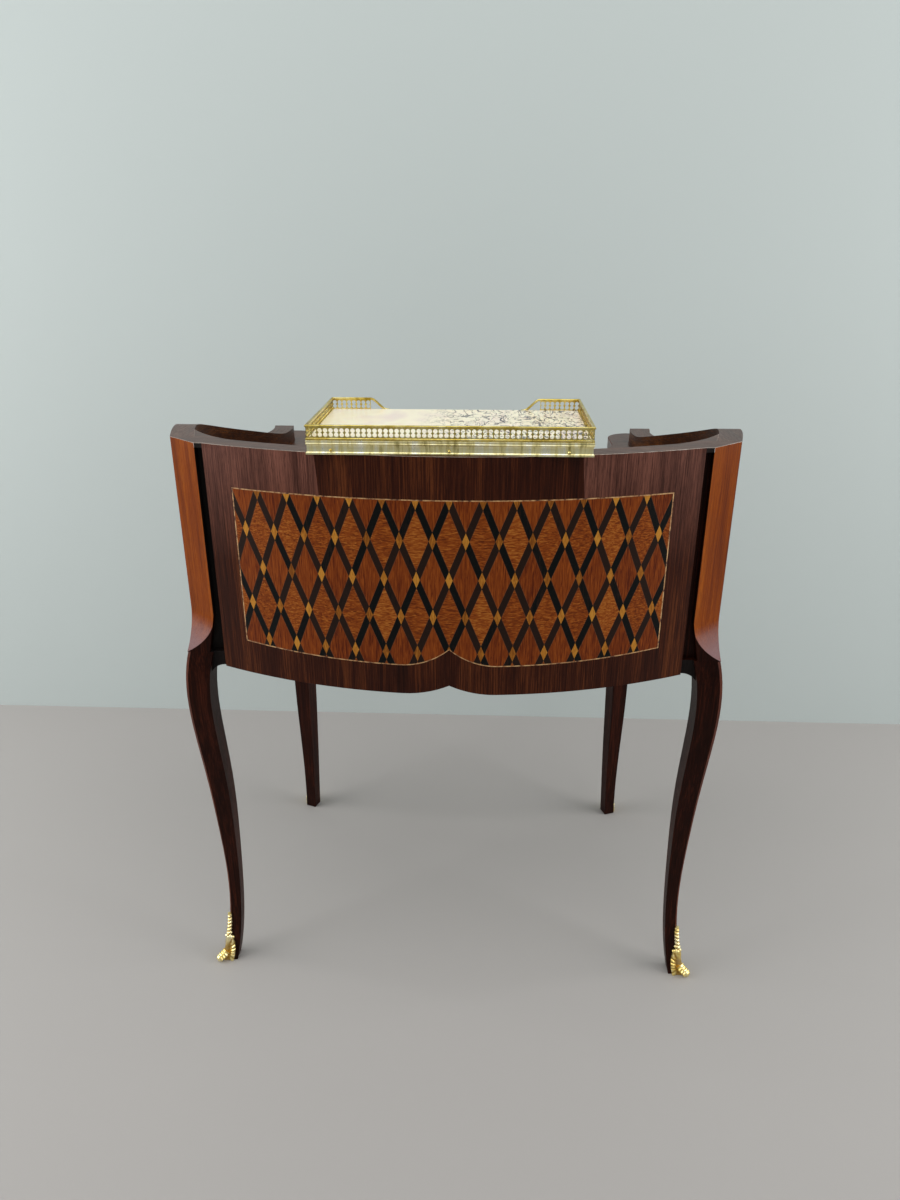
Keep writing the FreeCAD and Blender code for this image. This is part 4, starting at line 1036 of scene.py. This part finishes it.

# %% [markdown]
# ## Gilt bronze shoes
# Each foot wears a cast leaf that hugs its outer corner: a shell over the foot with a rayed
# rim and a keel down its middle, a slender spray of small leaves climbing the arris, and a
# toe that rolls outwards on the floor. A founder carves a wax; we write the leaf as sums
# over a grid instead. The height z runs up the arris in millimetres, and t runs from -1 to
# 1 over the two faces. One sum gives the outline, one the relief, and one the painted
# shade in the hollows.

# %% Outline and relief of the leaf
SPRAY_HIGH_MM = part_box("rear_sabot_right")[1].z / MM
SPRAY_WIDE_MM = 5.2
SPRAY_LEAF_MM = 6.2
SPRAY_SLOPE_MM = 4
SPRAY_TAPER, SPRAY_TIP, SPRAY_NOTCH = 0.15, 0.35, 0.3
SHELL_HIGH_MM = 43.0
SHELL_WIDE_MM = 16.0
SHELL_WIDEST_MM = 9.0
SHELL_OPEN_MM = 1
LOBE_MM = 4.8
LOBE_FROM_MM = 14.0
LOBE_NOTCH = 0.12
NECK_SHARE = 0.6
FAN_Z_MM = 13.0
FAN_RAY = math.radians(21)
RAYS_FROM, RAYS_FULL = 0.4, 0.7
KEEL_SPREAD = 0.3
FOLD_MM = 6.5
FOLD_SLOPE_MM = 9.0
# Lift of each part over the wood, in millimetres
SPRAY_BASE, SPRAY_LIFT, SPRAY_FALL = 1.2, 2.0, 0.3
SHELL_BASE, RIM_LIFT, RAY_LIFT, KEEL_LIFT, FOLD_LIFT = 0.8, 0.8, 2.5, 1.5, 0.9
# How dark the painted shade in the hollows gets, how much the keel is spared, how steep it rises
SHADE_MOST, KEEL_SPARED, SHADE_STEEP = 0.9, 0.3, 1.5


def spray_leaf(t, z):
    return abs(math.sin(math.pi * (z - SHELL_HIGH_MM - SPRAY_SLOPE_MM * abs(t)) / SPRAY_LEAF_MM))


def leaf_half_width(z):
    if z >= SHELL_HIGH_MM:
        up = (z - SHELL_HIGH_MM) / (SPRAY_HIGH_MM - SHELL_HIGH_MM)
        notched = 1 - SPRAY_NOTCH + SPRAY_NOTCH * spray_leaf(1, z)
        return SPRAY_WIDE_MM * (1 - SPRAY_TAPER * up - SPRAY_TIP * up ** 10) * notched
    rise = max(0.0, (z - SHELL_WIDEST_MM) / (SHELL_HIGH_MM + SHELL_OPEN_MM - SHELL_WIDEST_MM))
    scallop = abs(math.sin(math.pi * (z - LOBE_FROM_MM) / LOBE_MM)) if z > LOBE_FROM_MM else 1.0
    bowed = SHELL_WIDE_MM * math.sqrt(1 - rise ** 2) * (1 - LOBE_NOTCH + LOBE_NOTCH * scallop)
    return max(bowed, SPRAY_WIDE_MM * NECK_SHARE)


def shell_parts(t, z):
    across, up = abs(t) * leaf_half_width(z), z - FAN_Z_MM
    ray = abs(math.cos(math.pi * math.atan2(up, across) / FAN_RAY))
    reach = max(abs(t), up / (SHELL_HIGH_MM - FAN_Z_MM))
    rim = min(1.0, max(0.0, (reach - RAYS_FROM) / (RAYS_FULL - RAYS_FROM)))
    keel = math.exp(-(t / KEEL_SPREAD) ** 2)
    return ray, rim, keel


def leaf_relief(t, z):
    if z >= SHELL_HIGH_MM:
        return SPRAY_BASE + SPRAY_LIFT * spray_leaf(t, z) * (1 - SPRAY_FALL * abs(t))
    ray, rim, keel = shell_parts(t, z)
    fold = abs(math.sin(math.pi * (z - FOLD_SLOPE_MM * abs(t)) / FOLD_MM))
    rayed = (RIM_LIFT + RAY_LIFT * ray) * rim
    return SHELL_BASE + rayed + (KEEL_LIFT * keel + FOLD_LIFT * fold) * (1 - rim)


# Painted shade in the hollows: between the rays, and less on the keel
def painted_shade_at(t, z):
    if z >= SHELL_HIGH_MM:
        return (1 - spray_leaf(t, z)) ** 2
    ray, rim, keel = shell_parts(t, z)
    between_rays = SHADE_MOST * (1 - ray) ** SHADE_STEEP * rim
    return between_rays + (SHADE_MOST - KEEL_SPARED * keel) * (1 - rim)


print("leaf:", round(SPRAY_HIGH_MM), "mm high,", round(SHELL_WIDE_MM), "mm wide on each face")

# %% [markdown]
# ## The leaf on the leg
# A shoe is cast to fit its leg, so the leg's own mesh says where the outer corner lies at
# each height. The grid is laid twice, once lifted by the relief and once sunk a little
# into the wood, and the two are joined round their edge. Small round curls sit where shell
# and spray meet, as on the casting.

# %% Fold the leaf round the corner
LEAF_ROWS = 120
LEAF_COLUMNS = 14
FLOOR_GAP_MM = 0.3
LEAF_SUNK_MM = 0.8
CORNER_TURNS = 2.2
# Height, place along the half width, lift and radius of the small round curls
CURLS_MM = [(41.0, 7.4, 1.8, 3.2), (40.5, 1.5, 2.2, 3.0), (49.0, 4.2, 1.4, 2.3), (81.0, 1.0, 0.8, 2.2)]


def outer_corner(leg, z, ex, ey):
    found = []
    mesh = nodes[leg].data
    for edge in mesh.edges:
        low, high = sorted((mesh.vertices[i].co for i in edge.vertices), key=lambda co: co.z)
        if low.z <= z <= high.z and high.z > low.z:
            found.append(low.lerp(high, (z - low.z) / (high.z - low.z)))
    return ex * max(p.dot(ex) for p in found) + ey * max(p.dot(ey) for p in found) + UP * z


def folded_leaf(bm, leg, ex, ey):
    shade_layer = bm.verts.layers.float.new(SHADE_ATTRIBUTE)
    layers = []
    for outer in (True, False):
        rows = []
        for i in range(LEAF_ROWS + 1):
            z = FLOOR_GAP_MM + (SPRAY_HIGH_MM - FLOOR_GAP_MM) * i / LEAF_ROWS
            corner = outer_corner(leg, z * MM, ex, ey)
            wide = leaf_half_width(z)
            row = []
            for k in range(-LEAF_COLUMNS, LEAF_COLUMNS + 1):
                t = k / LEAF_COLUMNS
                turn = min(1.0, max(0.0, 0.5 + CORNER_TURNS * t))
                face = (ex * (1 - turn) + ey * turn).normalized()
                along = -ex * max(t, 0) - ey * max(-t, 0)
                lift = leaf_relief(t, z) if outer else -LEAF_SUNK_MM
                row.append(bm.verts.new(corner + (along * wide + face * lift) * MM))
                row[-1][shade_layer] = painted_shade_at(t, z)
            rows.append(row)
        layers.append(rows)
    front, rear = layers
    span = 2 * LEAF_COLUMNS
    for i in range(LEAF_ROWS):
        for k in range(span):
            bm.faces.new((front[i][k], front[i][k + 1], front[i + 1][k + 1], front[i + 1][k]))
            bm.faces.new((rear[i][k + 1], rear[i][k], rear[i + 1][k], rear[i + 1][k + 1]))
        for k in (0, span):
            bm.faces.new((front[i][k], front[i + 1][k], rear[i + 1][k], rear[i][k]))
    for k in range(span):
        for i in (0, LEAF_ROWS):
            bm.faces.new((front[i][k], front[i][k + 1], rear[i][k + 1], rear[i][k]))


def curls(bm, leg, ex, ey):
    for high, out, lift, radius in CURLS_MM:
        corner = outer_corner(leg, high * MM, ex, ey)
        for one, other in ((ex, ey), (ey, ex)):
            place = corner + (other * lift - one * out) * MM
            bmesh.ops.create_uvsphere(bm, u_segments=16, v_segments=10, radius=radius * MM,
                                      matrix=Matrix.Translation(place))


print("leaf grid", LEAF_ROWS, "by", 2 * LEAF_COLUMNS, "with", 2 * len(CURLS_MM), "curls")

# %% [markdown]
# ## The rolled toe
# Below the shell a tongue of bronze rolls outwards and rests on the floor: a ribbed ring,
# swept down a short curve, that swells over each ridge and closes at the tip. Leaf, curls
# and toe make a shoe. The front legs stand turned, so their shoes are turned with them.

# %% Toe, and the four shoes
TOE_STEPS = 40
TOE_SIDES = 24
TOE_START_MM = -6.0
TOE_END_MM = 11.5
TOE_TIP_MM = 6.7
TOE_DROP_MM = 7.0
TOE_WIDE_MM = 7.4
TOE_DEEP_MM = 6.1
TOE_RIDGES = 4
TOE_BASE, TOE_RIDGE = 0.93, 0.07
TOE_RIBS = 6
TOE_RIB = 0.05
TOE_CLOSES_FROM = 0.72
TOE_CLOSED = 0.002
FRONT_TWIST = math.radians(20)


def toe_profile(share):
    points = []
    closing = max(0.0, (share - TOE_CLOSES_FROM) / (1 - TOE_CLOSES_FROM))
    ridge = TOE_BASE + TOE_RIDGE * math.cos(2 * math.pi * TOE_RIDGES * share)
    size = math.sqrt(max(TOE_CLOSED, 1 - closing ** 2)) * ridge
    for i in range(TOE_SIDES):
        angle = 2 * math.pi * i / TOE_SIDES
        rib = size * (1 + TOE_RIB * math.cos(TOE_RIBS * angle))
        points.append((TOE_WIDE_MM * rib * math.cos(angle), TOE_DEEP_MM * rib * math.sin(angle)))
    return points


def rolled_toe(bm, leg, ex, ey):
    corner = outer_corner(leg, FLOOR_GAP_MM * MM, ex, ey)
    out = (ex + ey).normalized()
    path, profiles = [], []
    for i in range(TOE_STEPS + 1):
        share = i / TOE_STEPS
        along = TOE_START_MM + (TOE_END_MM - TOE_START_MM) * share
        high = TOE_TIP_MM + TOE_DROP_MM * (1 - share) ** 2
        path.append(corner + (out * along + UP * (high - FLOOR_GAP_MM)) * MM)
        profiles.append(toe_profile(share))
    swept(bm, path, profiles, level=out.cross(UP))


for end, sy, twist in (("rear", 1, 0.0), ("front", -1, FRONT_TWIST)):
    for side, sx in (("left", -1), ("right", 1)):
        turned = Matrix.Rotation(-sx * twist, 3, "Z")
        ex, ey = turned @ Vector((sx, 0, 0)), turned @ Vector((0, sy, 0))
        bm = bmesh.new()
        leg = end + "_leg_" + side
        folded_leaf(bm, leg, ex, ey)
        curls(bm, leg, ex, ey)
        rolled_toe(bm, leg, ex, ey)
        shoe = as_piece(end + "_leaf_shoe_" + side, outwards(bm), [gilt_bronze])
        settle(shoe, [end + "_sabot_" + side])
print("shoes stand", round(SPRAY_HIGH_MM), "mm high")
